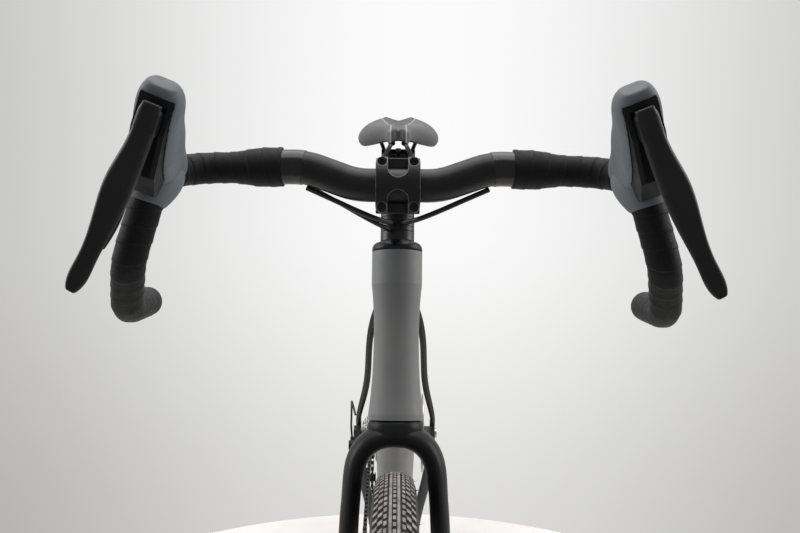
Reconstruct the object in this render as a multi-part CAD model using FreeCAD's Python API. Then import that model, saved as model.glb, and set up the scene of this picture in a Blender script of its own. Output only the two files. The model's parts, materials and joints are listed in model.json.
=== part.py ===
import FreeCAD
import Part
import math
import os

# A drop-bar gravel bike in millimetres. X points forwards, Y to the rider's left, Z up.
# The origin is on the ground, midway between the two wheels' contact points.

# Wheels and tyres
BEAD_SEAT_DIAMETER = 622.0
TYRE_HEIGHT = 40.0
TYRE_WIDTH = 41.0
TREAD_DEPTH = 2.0
TREAD_WIDTH = 35.0
CROWN_DROP = 10.0
CASING = 3.0
RIM_WIDTH = 30.0
RIM_WALL = 2.5
RIM_HOOK = 6.0
RIM_DEPTH = 30.0
SPOKES_PER_FLANGE = 12
SPOKE_CROSS_ANGLE = 60.0
SPOKE_RADIUS = 1.0
NIPPLE_RADIUS = 2.2
NIPPLE_LENGTH = 12.0
VALVE_RADIUS = 3.0
VALVE_LENGTH = 44.0

# Hubs, axles and rotors
FRONT_HUB_WIDTH = 100.0
REAR_HUB_WIDTH = 142.0
FRONT_FLANGES = (22.0, -33.0)
REAR_FLANGES = (34.0, -17.0)
FLANGE_RADIUS = 25.5
FLANGE_THICKNESS = 3.2
SPOKE_CIRCLE = 22.0
HUB_BARREL_RADIUS = 13.5
AXLE_RADIUS = 6.0
SLEEVE_RADIUS = 8.5
BEARING_RADIUS = 12.0
BEARING_WIDTH = 7.0
END_CAP_RADIUS = 10.5
END_CAP_LENGTH = 7.0
ROTOR_RADIUS = 80.0
ROTOR_TRACK = 14.0
ROTOR_THICKNESS = 1.8
ROTOR_INSET_FRONT = 11.6
ROTOR_INSET_REAR = 15.5
ROTOR_SEAT_RADIUS = 17.0
LOCKRING_WIDTH = 3.2

# Frame geometry
HEAD_ANGLE = 71.5
SEAT_ANGLE = 73.5
STACK = 595.0
REACH = 382.0
HEAD_TUBE_LENGTH = 170.0
HEAD_TOP_RADIUS = 25.9
HEAD_WAIST_RADIUS = 23.1
HEAD_FOOT_RADIUS = 27.8
SEAT_TUBE_LENGTH = 530.0
SEAT_TUBE_RADIUS = 17.5
CHAINSTAY_LENGTH = 427.0
BB_DROP = 72.0
BB_SHELL_WIDTH = 68.0
BB_SHELL_RADIUS = 22.0
BB_CUP_RADIUS = 20.5
BB_CUP_WIDTH = 9.5
TOP_TUBE_START = 36.0
TOP_TUBE_END = 30.0
DOWN_TUBE_START = 112.0
DOWN_TUBE_HALF_WIDTH = 22.5
DOWN_TUBE_HALF_HEIGHT = 25.0
DROPOUT_THICKNESS = 9.0
DROPOUT_RADIUS = 15.0
BOTTLE_BOSS_SPACING = 64.0
BOTTLE_BOSS_RADIUS = 5.0
BOTTLE_HOLE_RADIUS = 2.5
DOWN_BOSS_START = 190.0
SEAT_BOSS_START = 130.0

# Headset, fork and steering column
STEERER_RADIUS = 14.3
STEERER_FOOT_RADIUS = 16.4
UPPER_BEARING_RADIUS = 20.5
LOWER_BEARING_RADIUS = 23.0
HEAD_BEARING_HEIGHT = 7.0
HEAD_BORE_RADIUS = 18.0
CROWN_GAP = 1.2
FORK_OFFSET = 50.0
CROWN_RADIUS = 27.3
CROWN_HEIGHT = 25.0
SHOULDER_HALF_WIDTH = 40.0
SHOULDER_DROP = 17.0
LEG_SPREAD = 43.0
FORK_DROPOUT_THICKNESS = 11.0
COVER_HEIGHT = 11.0
SPACER_RADIUS = 17.5
SPACER_HEIGHTS = (10.0, 5.0, 5.0, 5.0, 5.0)
STEM_LENGTH = 80.0
STEM_DROP_ANGLE = 6.0
STEM_CLAMP_HEIGHT = 40.0
STEM_CLAMP_RADIUS = 18.5
TOP_CAP_HEIGHT = 4.0
FACEPLATE_WIDTH = 42.0
FACEPLATE_HEIGHT = 53.0
FACEPLATE_THICKNESS = 4.6
FACEPLATE_BAND = 12.0
FACEPLATE_CORNER = 5.5
BOLT_SPREAD_WIDE = 30.0
BOLT_SPREAD_HIGH = 43.0
BOLT_RADIUS = 2.5
BOLT_HEAD_RADIUS = 4.2

# Handlebar, in millimetres from the middle of its clamp
BAR_CLAMP_RADIUS = 15.9
BAR_GRIP_RADIUS = 12.0
BAR_RISE = 16.5
BAR_SWEEP = 10.0
BAR_HALF_WIDTH = 211.0
BAR_REACH = 84.0
BAR_DROP = 135.0
BAR_FLARE = 18.0
BAR_TAPER_START = 128.0
BAR_TAPER_LENGTH = 36.0
TAPE_START = 112.0
TAPE_THICKNESS = 3.2
TAPE_STEP = 0.6
TAPE_PITCH = 15.5
BAND_LENGTH = 20.0
PLUG_LENGTH = 5.0

# Levers and hoods, in a plane that leans in a little more than the drop does
HOOD_LEAN = 4.0
HOOD_TOP_LIMIT = 250.0
HOOD_LOW_LIMIT = 275.0
LEVER_PIVOT = (146.0, 52.0)
LEVER_PIN_RADIUS = 2.5
LEVER_HEAD_HALF_WIDTH = 8.6
BRACKET_HALF_WIDTH = 13.5
BRACKET_SLOT_HALF_WIDTH = 9.4

# Saddle and seatpost
POST_RADIUS = 13.6
POST_LENGTH = 320.0
POST_INSERTED = 162.0
POST_BORE_DEPTH = 262.0
SADDLE_LENGTH = 270.0
SADDLE_WIDTH = 146.0
SADDLE_NOSE_WIDTH = 36.0
SADDLE_RISE = 50.0
PAD_SIDE = 13.0
SHELL_THICKNESS = 3.0
PAD_GAP = 1.0
SADDLE_FORWARD = 22.0
RAIL_RADIUS = 3.5
RAIL_SPREAD = 22.0
COLLAR_HEIGHT = 14.0
COLLAR_WALL = 4.0

# Drive
CHAIN_PITCH = 12.7
ROLLER_RADIUS = 3.85
ROLLER_WIDTH = 2.5
INNER_PLATE = 0.85
OUTER_PLATE = 0.85
LINK_PLATE_RADIUS = 4.2
LINK_PIN_RADIUS = 1.8
CHAINLINE = 47.0
RING_TEETH = 40
COG_TEETH = (11, 13, 15, 17, 19, 21, 24, 28, 32, 37, 42)
CHAIN_COG = 5
COG_SPACING = 3.9
COG_THICKNESS = 1.6
RING_THICKNESS = 1.9
SEAT_RADIUS = 4.1
TOOTH_HEIGHT = 2.7
TOOTH_TIP_HALF = 1.0
FREEHUB_RADIUS = 17.0
CRANK_LENGTH = 172.5
CRANK_ANGLE = 27.0
SPINDLE_RADIUS = 12.0
CRANK_HUB_RADIUS = 18.0
CRANK_HUB_FACE = 44.5
CRANK_PEDAL_FACE = 75.5
CRANK_THICKNESS = 12.5
SPIDER_BOLT_CIRCLE = 55.0
PEDAL_AXLE_RADIUS = 4.5
PEDAL_WIDTH = 94.0
PEDAL_LENGTH = 100.0
PEDAL_HEIGHT = 17.0
PEDAL_GAP = 9.0

# Derailleur, measured from the rear axle
GUIDE_TEETH = 11
TENSION_TEETH = 13
GUIDE_FORWARD = 2.0
GUIDE_BELOW = 100.0
PULLEY_SPACING = 84.0
PULLEY_THICKNESS = 2.0
CAGE_ANGLE_START = -62.0
CAGE_GAP = 5.2
CAGE_PLATE = 1.6
HANGER_BACK = 8.0
HANGER_BELOW = 32.0
HANGER_THICKNESS = 6.0
LINK_LENGTH = 48.0
LINK_SLOPE = 25.0
LINK_SPACING = 15.0
LINK_RADIUS = 4.5
LINK_WIDTH = 12.0
LINK_EAR = 3.0
LINK_PIN = 2.0
KNUCKLE_SIDE = 74.0
CAGE_PIVOT_RADIUS = 4.0
SLANT = 45.0

# Cables
HOSE_RADIUS = 2.5
SHIFT_HOUSING_RADIUS = 2.2

# Clearances
FIT = 0.15
RUNNING = 0.05
PLAY = 0.3
SEAM = 0.6

V = FreeCAD.Vector
ORIGIN = V(0, 0, 0)
X_AXIS = V(1, 0, 0)
Y_AXIS = V(0, 1, 0)
Z_AXIS = V(0, 0, 1)


# Places worked out from the driving sizes

def radians(angle):
    return math.radians(angle)


WHEEL_RADIUS = BEAD_SEAT_DIAMETER / 2 + TYRE_HEIGHT
RIM_INNER_HALF = RIM_WIDTH / 2 - RIM_WALL
HOOK_RADIUS = BEAD_SEAT_DIAMETER / 2 + RIM_HOOK
BED_RADIUS = HOOK_RADIUS - RIM_DEPTH
HEAD_COS = math.cos(radians(HEAD_ANGLE))
HEAD_SIN = math.sin(radians(HEAD_ANGLE))
BB_HEIGHT = WHEEL_RADIUS - BB_DROP
REAR_CENTRE = math.sqrt(CHAINSTAY_LENGTH ** 2 - BB_DROP ** 2)
HEAD_TOP_HEIGHT = BB_HEIGHT + STACK
AXLE_DROP = (HEAD_TOP_HEIGHT + FORK_OFFSET * HEAD_COS - WHEEL_RADIUS) / HEAD_SIN
FRONT_CENTRE = REACH + AXLE_DROP * HEAD_COS + FORK_OFFSET * HEAD_SIN
WHEELBASE = REAR_CENTRE + FRONT_CENTRE
REAR_AXLE = V(-WHEELBASE / 2, 0, WHEEL_RADIUS)
FRONT_AXLE = V(WHEELBASE / 2, 0, WHEEL_RADIUS)
BB = V(REAR_CENTRE - WHEELBASE / 2, 0, BB_HEIGHT)
HEAD_TOP = BB + V(REACH, 0, STACK)
SEAT_UP = V(-math.cos(radians(SEAT_ANGLE)), 0, math.sin(radians(SEAT_ANGLE)))
SEAT_FORWARD = V(math.sin(radians(SEAT_ANGLE)), 0, math.cos(radians(SEAT_ANGLE)))
SEAT_TOP = BB + SEAT_UP * SEAT_TUBE_LENGTH
POST_TOP = SEAT_TOP + SEAT_UP * (POST_LENGTH - POST_INSERTED)
FRONT_ROTOR_SIDE = FRONT_HUB_WIDTH / 2 - ROTOR_INSET_FRONT
REAR_ROTOR_SIDE = REAR_HUB_WIDTH / 2 - ROTOR_INSET_REAR


class Place:
    """A local frame: an origin and three square directions."""

    def __init__(self, origin, forward, left, up):
        self.origin = origin
        self.axes = (forward, left, up)
        rows = []
        for name in ("x", "y", "z"):
            for vector in (forward, left, up, origin):
                rows.append(getattr(vector, name))
        self.placement = FreeCAD.Placement(FreeCAD.Matrix(*rows, 0, 0, 0, 1))

    def direction(self, x, y, z):
        return self.axes[0] * x + self.axes[1] * y + self.axes[2] * z

    def point(self, x, y, z):
        return self.origin + self.direction(x, y, z)

    def put(self, shape):
        copy = shape.copy()
        copy.Placement = self.placement.multiply(copy.Placement)
        return copy


STEER = Place(HEAD_TOP, V(HEAD_SIN, 0, HEAD_COS), Y_AXIS, V(-HEAD_COS, 0, HEAD_SIN))
COLUMN = COVER_HEIGHT + sum(SPACER_HEIGHTS)
STEM_RISE = radians(90 - HEAD_ANGLE - STEM_DROP_ANGLE)
STEM_FORWARD = V(math.cos(STEM_RISE), 0, math.sin(STEM_RISE))
STEM_UP = V(-math.sin(STEM_RISE), 0, math.cos(STEM_RISE))
STEM_ROOT = STEER.point(0, 0, COLUMN + STEM_CLAMP_HEIGHT / 2)
BAR = STEM_ROOT + STEM_FORWARD * STEM_LENGTH
STEM = Place(BAR, STEM_FORWARD, Y_AXIS, STEM_UP)
FLARE_COS = math.cos(radians(BAR_FLARE))
FLARE_SIN = math.sin(radians(BAR_FLARE))
BAR_CORNER = BAR + V(-BAR_SWEEP, BAR_HALF_WIDTH, BAR_RISE - 3)
DROP = Place(BAR_CORNER, X_AXIS, V(0, FLARE_COS, FLARE_SIN), V(0, -FLARE_SIN, FLARE_COS))
LEAN_COS = math.cos(radians(BAR_FLARE + HOOD_LEAN))
LEAN_SIN = math.sin(radians(BAR_FLARE + HOOD_LEAN))
HOOD = Place(BAR_CORNER, X_AXIS, V(0, LEAN_COS, LEAN_SIN), V(0, -LEAN_SIN, LEAN_COS))


# Shape helpers

def unit(vector):
    """The vector at length one."""
    copy = V(vector)
    copy.normalize()
    return copy


def flat(pair):
    return V(pair[0], pair[1], 0)


def polar(radius, angle):
    return V(radius * math.cos(angle), radius * math.sin(angle), 0)


def moved(shape, vector):
    copy = shape.copy()
    copy.translate(vector)
    return copy


def spun(shape, axis, angle, centre=ORIGIN):
    copy = shape.copy()
    copy.rotate(centre, axis, angle)
    return copy


def mirrored(shape):
    """The same piece on the other side of the bike."""
    return shape.mirror(ORIGIN, Y_AXIS)


def rod(start, end, radius):
    span = end - start
    return Part.makeCylinder(radius, span.Length, start, span)


def sleeve(start, end, outer, inner):
    return rod(start, end, outer).cut(rod(start, end, inner))


def across(centre, side_a, side_b, radius):
    """A rod along Y through a place in the side view."""
    return rod(centre + V(0, side_a, 0), centre + V(0, side_b, 0), radius)


def outline(start, *steps):
    """A flat face: a pair is a corner, and two pairs are an arc through the first to the second."""
    edges = []
    here = flat(start)
    for step in steps:
        if isinstance(step[0], tuple):
            there = flat(step[1])
            edges.append(Part.Arc(here, flat(step[0]), there).toShape())
        else:
            there = flat(step)
            edges.append(Part.LineSegment(here, there).toShape())
        here = there
    if here.distanceToPoint(flat(start)) > 0.0001:
        edges.append(Part.LineSegment(here, flat(start)).toShape())
    return Part.Face(Part.Wire(edges))


def hull(circles):
    """The face wrapped round circles, given counter-clockwise as (x, y, radius)."""
    normals = []
    for (ax, ay, ar), (bx, by, br) in zip(circles, circles[1:] + circles[:1]):
        span = V(bx - ax, by - ay, 0)
        heading = math.atan2(span.y, span.x)
        normals.append(heading - math.pi / 2 + math.asin((ar - br) / span.Length))
    edges = []
    for index, (x, y, radius) in enumerate(circles):
        begin = normals[index - 1]
        end = normals[index]
        while end <= begin:
            end += 2 * math.pi
        centre = V(x, y, 0)
        arc = Part.Arc(centre + polar(radius, begin), centre + polar(radius, (begin + end) / 2),
                       centre + polar(radius, end))
        edges.append(arc.toShape())
        nx, ny, nr = circles[(index + 1) % len(circles)]
        edges.append(Part.LineSegment(centre + polar(radius, end),
                                      V(nx, ny, 0) + polar(nr, normals[index])).toShape())
    return Part.Face(Part.Wire(edges))


def upright(shape):
    """Turn a flat drawing up into the side view, its second axis along Z."""
    return spun(shape, X_AXIS, 90)


def side_plate(face, side_a, side_b):
    """A plate drawn in the side view, between two places along Y."""
    low = min(side_a, side_b)
    return moved(upright(face), V(0, low, 0)).extrude(V(0, abs(side_b - side_a), 0))


def turned(face):
    """A turned piece about Y from a drawing of radius and side."""
    return face.revolve(ORIGIN, Y_AXIS, 360)


def turned_up(face):
    """A turned piece about Z from a drawing of radius and height."""
    return upright(turned(face))


def oval(centre, wide, high, half_wide, half_high):
    """A closed oval with the two given half sizes along the two given directions."""
    normal = wide.cross(high)
    rows = []
    for name in ("x", "y", "z"):
        rows += [getattr(wide, name) * half_wide, getattr(high, name) * half_high,
                 getattr(normal, name), getattr(centre, name)]
    circle = Part.Circle(ORIGIN, Z_AXIS, 1).toShape()
    return Part.Wire(circle.transformGeometry(FreeCAD.Matrix(*rows, 0, 0, 0, 1)))


def soft_box(centre, wide, high, half_wide, half_high, corner):
    """A closed rectangle with round corners."""
    flat_wide = half_wide - corner
    flat_high = half_high - corner
    slant = corner * math.sqrt(0.5)
    edges = []

    def at(x, y):
        return centre + wide * x + high * y

    corners = ((1, 1), (-1, 1), (-1, -1), (1, -1))
    for index, (sx, sy) in enumerate(corners):
        if sx == sy:
            begin = at(sx * half_wide, sy * flat_high)
            end = at(sx * flat_wide, sy * half_high)
        else:
            begin = at(sx * flat_wide, sy * half_high)
            end = at(sx * half_wide, sy * flat_high)
        middle = at(sx * (flat_wide + slant), sy * (flat_high + slant))
        edges.append(Part.Arc(begin, middle, end).toShape())
        nx, ny = corners[(index + 1) % 4]
        if nx == ny:
            following = at(nx * half_wide, ny * flat_high)
        else:
            following = at(nx * flat_wide, ny * half_high)
        edges.append(Part.LineSegment(end, following).toShape())
    return Part.Wire(edges)


def loft(wires, ruled=False):
    return Part.makeLoft(wires, True, ruled)


def bent_path(points, radii):
    """Straight runs through points with a tangent arc of the given radius at each inner point."""
    edges = []
    start = points[0]
    for before, corner, after, radius in zip(points, points[1:], points[2:], radii):
        back = unit(before - corner)
        ahead = unit(after - corner)
        half = back.getAngle(ahead) / 2
        tangent = radius / math.tan(half)
        first = corner + back * tangent
        last = corner + ahead * tangent
        middle = corner + unit(back + ahead) * (radius / math.sin(half) - radius)
        edges.append(Part.LineSegment(start, first).toShape())
        edges.append(Part.Arc(first, middle, last).toShape())
        start = last
    edges.append(Part.LineSegment(start, points[-1]).toShape())
    return Part.Wire(edges)


def cord_radii(points):
    """The largest arc at each inner point: 0.45 of the shorter run over the tangent of half the turn."""
    radii = []
    for before, corner, after in zip(points, points[1:], points[2:]):
        turn = (corner - before).getAngle(after - corner)
        shorter = min((corner - before).Length, (after - corner).Length)
        radii.append(0.45 * shorter / math.tan(turn / 2))
    return radii


def pipe(path, radius):
    """A round bar along a path."""
    first = path.OrderedEdges[0]
    at = first.valueAt(first.FirstParameter)
    along = first.tangentAt(first.FirstParameter)
    if path.OrderedVertexes[0].Point.distanceToPoint(at) > 0.001:
        at = first.valueAt(first.LastParameter)
        along = first.tangentAt(first.LastParameter) * -1
    ring = Part.Wire(Part.Circle(at, along, radius).toShape())
    return path.makePipeShell([ring], True, False)


def cord(name, points, radius):
    """A held cable on its route; prints its bend radii and its volume against section times length."""
    radii = cord_radii(points)
    path = bent_path(points, radii)
    solid = pipe(path, radius)
    plain = math.pi * radius ** 2 * path.Length
    print(name, "bend radii", [round(value, 1) for value in radii],
          "volume ratio", round(solid.Volume / plain, 4))
    return solid


def path_at(path, distance):
    """The point and direction at a distance along a path."""
    travelled = 0.0
    here = path.OrderedVertexes[0].Point
    for edge in path.OrderedEdges:
        forwards = edge.valueAt(edge.FirstParameter).distanceToPoint(here) < 0.001
        end = edge.LastParameter if forwards else edge.FirstParameter
        if distance <= travelled + edge.Length + 1e-6:
            part = min(max(distance - travelled, 0.0), edge.Length)
            parameter = edge.getParameterByLength(part if forwards else edge.Length - part)
            along = edge.tangentAt(parameter)
            return edge.valueAt(parameter), along if forwards else along * -1
        travelled += edge.Length
        here = edge.valueAt(end)
    return here, along


def fused(shapes):
    return shapes[0].multiFuse(shapes[1:])


NODES = {}


def node(name, *solids):
    """Keep the solids of one node for writing."""
    NODES[name] = list(solids)


# Wheels

def crown(side):
    """The tread's outer radius at a distance from the middle."""
    return WHEEL_RADIUS - CROWN_DROP * (2 * side / TYRE_WIDTH) ** 2


def tyre():
    """A hollow casing open towards the rim, with continuous grooves round its tread."""
    half = TYRE_WIDTH / 2
    bead = BEAD_SEAT_DIAMETER / 2 + FIT
    bead_side = RIM_INNER_HALF - FIT
    bead_width = 4.0
    widest = WHEEL_RADIUS - TYRE_HEIGHT / 2
    edge = TREAD_WIDTH / 2
    shoulder = crown(edge) - TREAD_DEPTH
    bands = ((edge, edge - 4.6), (edge - 5.6, edge - 9.2), (edge - 10.2, edge - 12.8))
    groove = TREAD_DEPTH * 0.75
    steps = [(bead + RIM_HOOK, bead_side), ((widest, half), (shoulder, edge))]
    for outer, inner in bands:
        steps += [(crown(outer), outer), (crown(inner), inner), (crown(inner) - groove, inner)]
        steps.append((crown(inner - 1) - groove, inner - 1))
    middle = bands[-1][1] - 1
    steps += [(crown(middle) - SEAM, middle), (crown(middle) - SEAM, -middle)]
    for outer, inner in reversed(bands):
        steps += [(crown(inner - 1) - groove, 1 - inner), (crown(inner) - groove, -inner)]
        steps += [(crown(inner), -inner), (crown(outer), -outer)]
    inner_shoulder = shoulder - CASING
    inner_edge = edge - CASING
    steps += [(shoulder, -edge), ((widest, -half), (bead + RIM_HOOK, -bead_side)), (bead, -bead_side)]
    steps += [(bead, bead_width - bead_side), (bead + RIM_HOOK, bead_width - bead_side)]
    steps.append(((widest, CASING - half), (inner_shoulder, -inner_edge)))
    steps.append(((WHEEL_RADIUS - TREAD_DEPTH - CASING, 0), (inner_shoulder, inner_edge)))
    steps.append(((widest, half - CASING), (bead + RIM_HOOK, bead_side - bead_width)))
    steps.append((bead, bead_side - bead_width))
    return turned(outline((bead, bead_side), *steps))


def rim():
    """A hooked rim with a centre well, a rounded spoke bed and a valve hole."""
    seat = BEAD_SEAT_DIAMETER / 2
    outer = RIM_WIDTH / 2
    well = seat - 4
    wall = HOOK_RADIUS - 12
    bed = 5.0
    bulge = BED_RADIUS + 6
    drawing = outline((HOOK_RADIUS, RIM_INNER_HALF), (seat, RIM_INNER_HALF), (seat, 7.2), (well, 5),
                      (well, -5), (seat, -7.2), (seat, -RIM_INNER_HALF),
                      (HOOK_RADIUS, -RIM_INNER_HALF), (HOOK_RADIUS, -outer), (wall, -outer),
                      ((bulge, 3 - outer), (BED_RADIUS, -bed)), (BED_RADIUS, bed),
                      ((bulge, outer - 3), (wall, outer)), (HOOK_RADIUS, outer))
    hole = rod(V(0, 0, -BED_RADIUS + 2), V(0, 0, -seat), VALVE_RADIUS + FIT)
    return turned(drawing).cut(hole)


def valve():
    """A tubeless valve at the bottom of the wheel: foot, stem, nut and cap."""
    well = BEAD_SEAT_DIAMETER / 2 - 4
    foot = rod(V(0, 0, -well + FIT - 2), V(0, 0, -well + FIT), 4.6)
    foot = moved(foot, V(0, 0, -FIT * 2))
    stem = rod(V(0, 0, -well), V(0, 0, VALVE_LENGTH - well), VALVE_RADIUS)
    nut = rod(V(0, 0, FIT - BED_RADIUS), V(0, 0, 5 - BED_RADIUS), 5.2)
    cap = rod(V(0, 0, VALVE_LENGTH - well - 14), V(0, 0, VALVE_LENGTH - well), VALVE_RADIUS + 0.8)
    return fused([stem, foot, nut, cap])


def spoke(flange, hub_angle, lean, outside):
    """One spoke with its head, elbow and nipple, from a flange to the rim."""
    side = 1 if flange > 0 else -1
    away = side * outside
    lift = away * (FLANGE_THICKNESS / 2 + SPOKE_RADIUS + 3 * PLAY)
    hub = spoke_point(SPOKE_CIRCLE, hub_angle, flange + lift)
    end = spoke_point(BED_RADIUS - FIT, hub_angle + lean, side * 1.5)
    along = unit(end - hub)
    back = spoke_point(SPOKE_CIRCLE, hub_angle, flange - away * (FLANGE_THICKNESS / 2 + FIT + 1.2))
    neck = spoke_point(SPOKE_CIRCLE, hub_angle, flange - away * (FLANGE_THICKNESS / 2 + FIT))
    shaft = rod(hub, end - along * 2, SPOKE_RADIUS)
    elbow = Part.makeSphere(SPOKE_RADIUS, hub)
    throat = rod(hub, back, SPOKE_RADIUS)
    head = rod(neck, back, SPOKE_RADIUS + 0.9)
    nipple = rod(end - along * NIPPLE_LENGTH, end, NIPPLE_RADIUS)
    bed = turned(outline((0, -20), (BED_RADIUS - FIT, -20), (BED_RADIUS - FIT, 20), (0, 20)))
    return fused([shaft, elbow, throat, head, nipple]).common(bed)


def spoke_point(radius, angle, side):
    return V(radius * math.cos(radians(angle)), side, radius * math.sin(radians(angle)))


def spokes(flanges):
    """Both sides of a crossed wheel; leading spokes leave outside the flange, trailing ones inside."""
    step = 360.0 / SPOKES_PER_FLANGE
    result = []
    for flange, shift in zip(flanges, (step / 4, step * 3 / 4)):
        leading = spoke(flange, shift, SPOKE_CROSS_ANGLE, 1)
        trailing = spoke(flange, shift + step, -SPOKE_CROSS_ANGLE, -1)
        for index in range(SPOKES_PER_FLANGE // 2):
            for solid in (leading, trailing):
                result.append(spun(solid, Y_AXIS, -2 * step * index))
    return result


def hub_shell(flanges, right_end, rotor_side):
    """A turned hub with two drilled flanges, bearing seats and a splined seat for the rotor."""
    left, right = flanges
    half = FLANGE_THICKNESS / 2
    bore = SLEEVE_RADIUS + 1
    seat_end = rotor_side + ROTOR_THICKNESS / 2 + LOCKRING_WIDTH
    stop = rotor_side - ROTOR_THICKNESS / 2 - FIT
    waist = HUB_BARREL_RADIUS - 1
    drawing = outline((bore, right_end + BEARING_WIDTH), (BEARING_RADIUS, right_end + BEARING_WIDTH),
                      (BEARING_RADIUS, right_end), (BEARING_RADIUS + 3, right_end),
                      (BEARING_RADIUS + 3, right - half), (FLANGE_RADIUS, right - half),
                      (FLANGE_RADIUS, right + half), (SPOKE_CIRCLE - 4, right + half),
                      (HUB_BARREL_RADIUS, right + half + 5),
                      ((waist, (left + right) / 2), (HUB_BARREL_RADIUS, left - half - 5)),
                      (SPOKE_CIRCLE - 4, left - half), (FLANGE_RADIUS, left - half),
                      (FLANGE_RADIUS, left + half), (SPOKE_CIRCLE - 4, left + half),
                      (SPOKE_CIRCLE - 4, left + half + 5), (ROTOR_SEAT_RADIUS + 4, left + half + 7),
                      (ROTOR_SEAT_RADIUS + 4, stop),
                      (ROTOR_SEAT_RADIUS, stop), (ROTOR_SEAT_RADIUS, seat_end),
                      (BEARING_RADIUS, seat_end), (BEARING_RADIUS, seat_end - BEARING_WIDTH),
                      (bore, seat_end - BEARING_WIDTH))
    shell = turned(drawing)
    step = 360.0 / SPOKES_PER_FLANGE
    holes = []
    for flange, shift in zip(flanges, (step / 4, step * 3 / 4)):
        for index in range(SPOKES_PER_FLANGE):
            start = spoke_point(SPOKE_CIRCLE, shift + step * index, flange - half - 3)
            end = spoke_point(SPOKE_CIRCLE, shift + step * index, flange + half + 3)
            holes.append(rod(start, end, SPOKE_RADIUS + FIT))
    return shell.cut(holes)


def hub_bearings(right_end, rotor_side):
    seat_end = rotor_side + ROTOR_THICKNESS / 2 + LOCKRING_WIDTH
    rings = []
    for inner in (right_end, seat_end - BEARING_WIDTH):
        rings.append(sleeve(V(0, inner, 0), V(0, inner + BEARING_WIDTH, 0),
                            BEARING_RADIUS, SLEEVE_RADIUS + RUNNING))
    return rings


def rotor(side):
    """A disc with a slotted brake track, swept arms and a splined middle ring."""
    low = side - ROTOR_THICKNESS / 2
    high = side + ROTOR_THICKNESS / 2
    track_inner = ROTOR_RADIUS - ROTOR_TRACK
    hub_ring = ROTOR_SEAT_RADIUS + 8
    pieces = [sleeve(V(0, low, 0), V(0, high, 0), ROTOR_RADIUS, track_inner),
              sleeve(V(0, low, 0), V(0, high, 0), hub_ring, ROTOR_SEAT_RADIUS + FIT)]
    arm_half = 3.2
    root = polar(hub_ring - arm_half, 0)
    tip = polar(track_inner + arm_half, radians(32))
    arm = side_plate(hull([(root.x, root.y, arm_half), (tip.x, tip.y, arm_half)]), low, high)
    for index in range(6):
        pieces.append(spun(arm, Y_AXIS, 60 * index))
    slot_half = 1.8
    first = polar(track_inner + 4, 0)
    last = polar(ROTOR_RADIUS - 4, radians(4))
    slot = side_plate(hull([(first.x, first.y, slot_half), (last.x, last.y, slot_half)]), low - 1, high + 1)
    slots = [spun(slot, Y_AXIS, 15 * index) for index in range(24)]
    return fused(pieces).cut(slots)


def lockring(side):
    face = side + ROTOR_THICKNESS / 2 + FIT
    return sleeve(V(0, face, 0), V(0, face + LOCKRING_WIDTH - FIT, 0),
                  ROTOR_SEAT_RADIUS + 4.5, ROTOR_SEAT_RADIUS + FIT)


def thru_axle(half, grip, head_side):
    """A thru axle: a plain rod with a head outside one dropout and its thread in the other."""
    end = half + grip
    shaft = rod(V(0, -end * head_side, 0), V(0, (end + 1) * head_side, 0), AXLE_RADIUS)
    start = (end + FIT) * head_side
    head = rod(V(0, start, 0), V(0, start + 5 * head_side, 0), AXLE_RADIUS + 4)
    socket = rod(V(0, start + 2 * head_side, 0), V(0, start + 6 * head_side, 0), 3.0)
    return shaft.fuse(head).cut(socket)


def axle_sleeve(half):
    """The still part of a hub: a spacer tube and two end caps over the thru axle."""
    inner = AXLE_RADIUS + RUNNING
    cap = half - END_CAP_LENGTH
    tube = sleeve(V(0, -cap, 0), V(0, cap, 0), SLEEVE_RADIUS, inner)
    left = sleeve(V(0, cap, 0), V(0, half, 0), END_CAP_RADIUS, inner)
    right = sleeve(V(0, -half, 0), V(0, -cap, 0), END_CAP_RADIUS, inner)
    return [tube, left, right]


def make_wheel(name, axle, flanges, right_end, rotor_side):
    def here(shape):
        return moved(shape, axle)

    node(name + "_tyre", here(tyre()))
    node(name + "_rim", here(rim()), here(valve()))
    node(name + "_spokes", *[here(solid) for solid in spokes(flanges)])
    shell = hub_shell(flanges, right_end, rotor_side)
    node(name + "_hub", here(shell), *[here(ring) for ring in hub_bearings(right_end, rotor_side)])
    node(name + "_rotor", here(rotor(rotor_side)), here(lockring(rotor_side)))


FRONT_HUB_END = -(FRONT_HUB_WIDTH / 2 - END_CAP_LENGTH - PLAY)
FREEHUB_GAP = 1.0
BIG_COG_SIDE = -CHAINLINE + (len(COG_TEETH) - 1 - CHAIN_COG) * COG_SPACING
REAR_HUB_END = BIG_COG_SIDE + COG_THICKNESS / 2 + 1.5


# Frame

def head_tube():
    """An hourglass tube turned about the steering axis."""
    foot = -HEAD_TUBE_LENGTH
    curve = Part.BSplineCurve()
    curve.interpolate([V(HEAD_TOP_RADIUS, foot * 0.2, 0), V(HEAD_WAIST_RADIUS + 0.3, foot * 0.38, 0),
                       V(HEAD_WAIST_RADIUS, foot * 0.56, 0), V(HEAD_WAIST_RADIUS + 1.4, foot * 0.78, 0),
                       V(HEAD_FOOT_RADIUS, foot * 0.97, 0)])
    corners = [V(HEAD_FOOT_RADIUS, foot * 0.97, 0), V(HEAD_FOOT_RADIUS, foot, 0), V(0, foot, 0), ORIGIN,
               V(HEAD_TOP_RADIUS, 0, 0), V(HEAD_TOP_RADIUS, foot * 0.2, 0)]
    edges = [curve.toShape()]
    for start, end in zip(corners, corners[1:]):
        edges.append(Part.LineSegment(start, end).toShape())
    return STEER.put(turned_up(Part.Face(Part.Wire(edges))))


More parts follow.
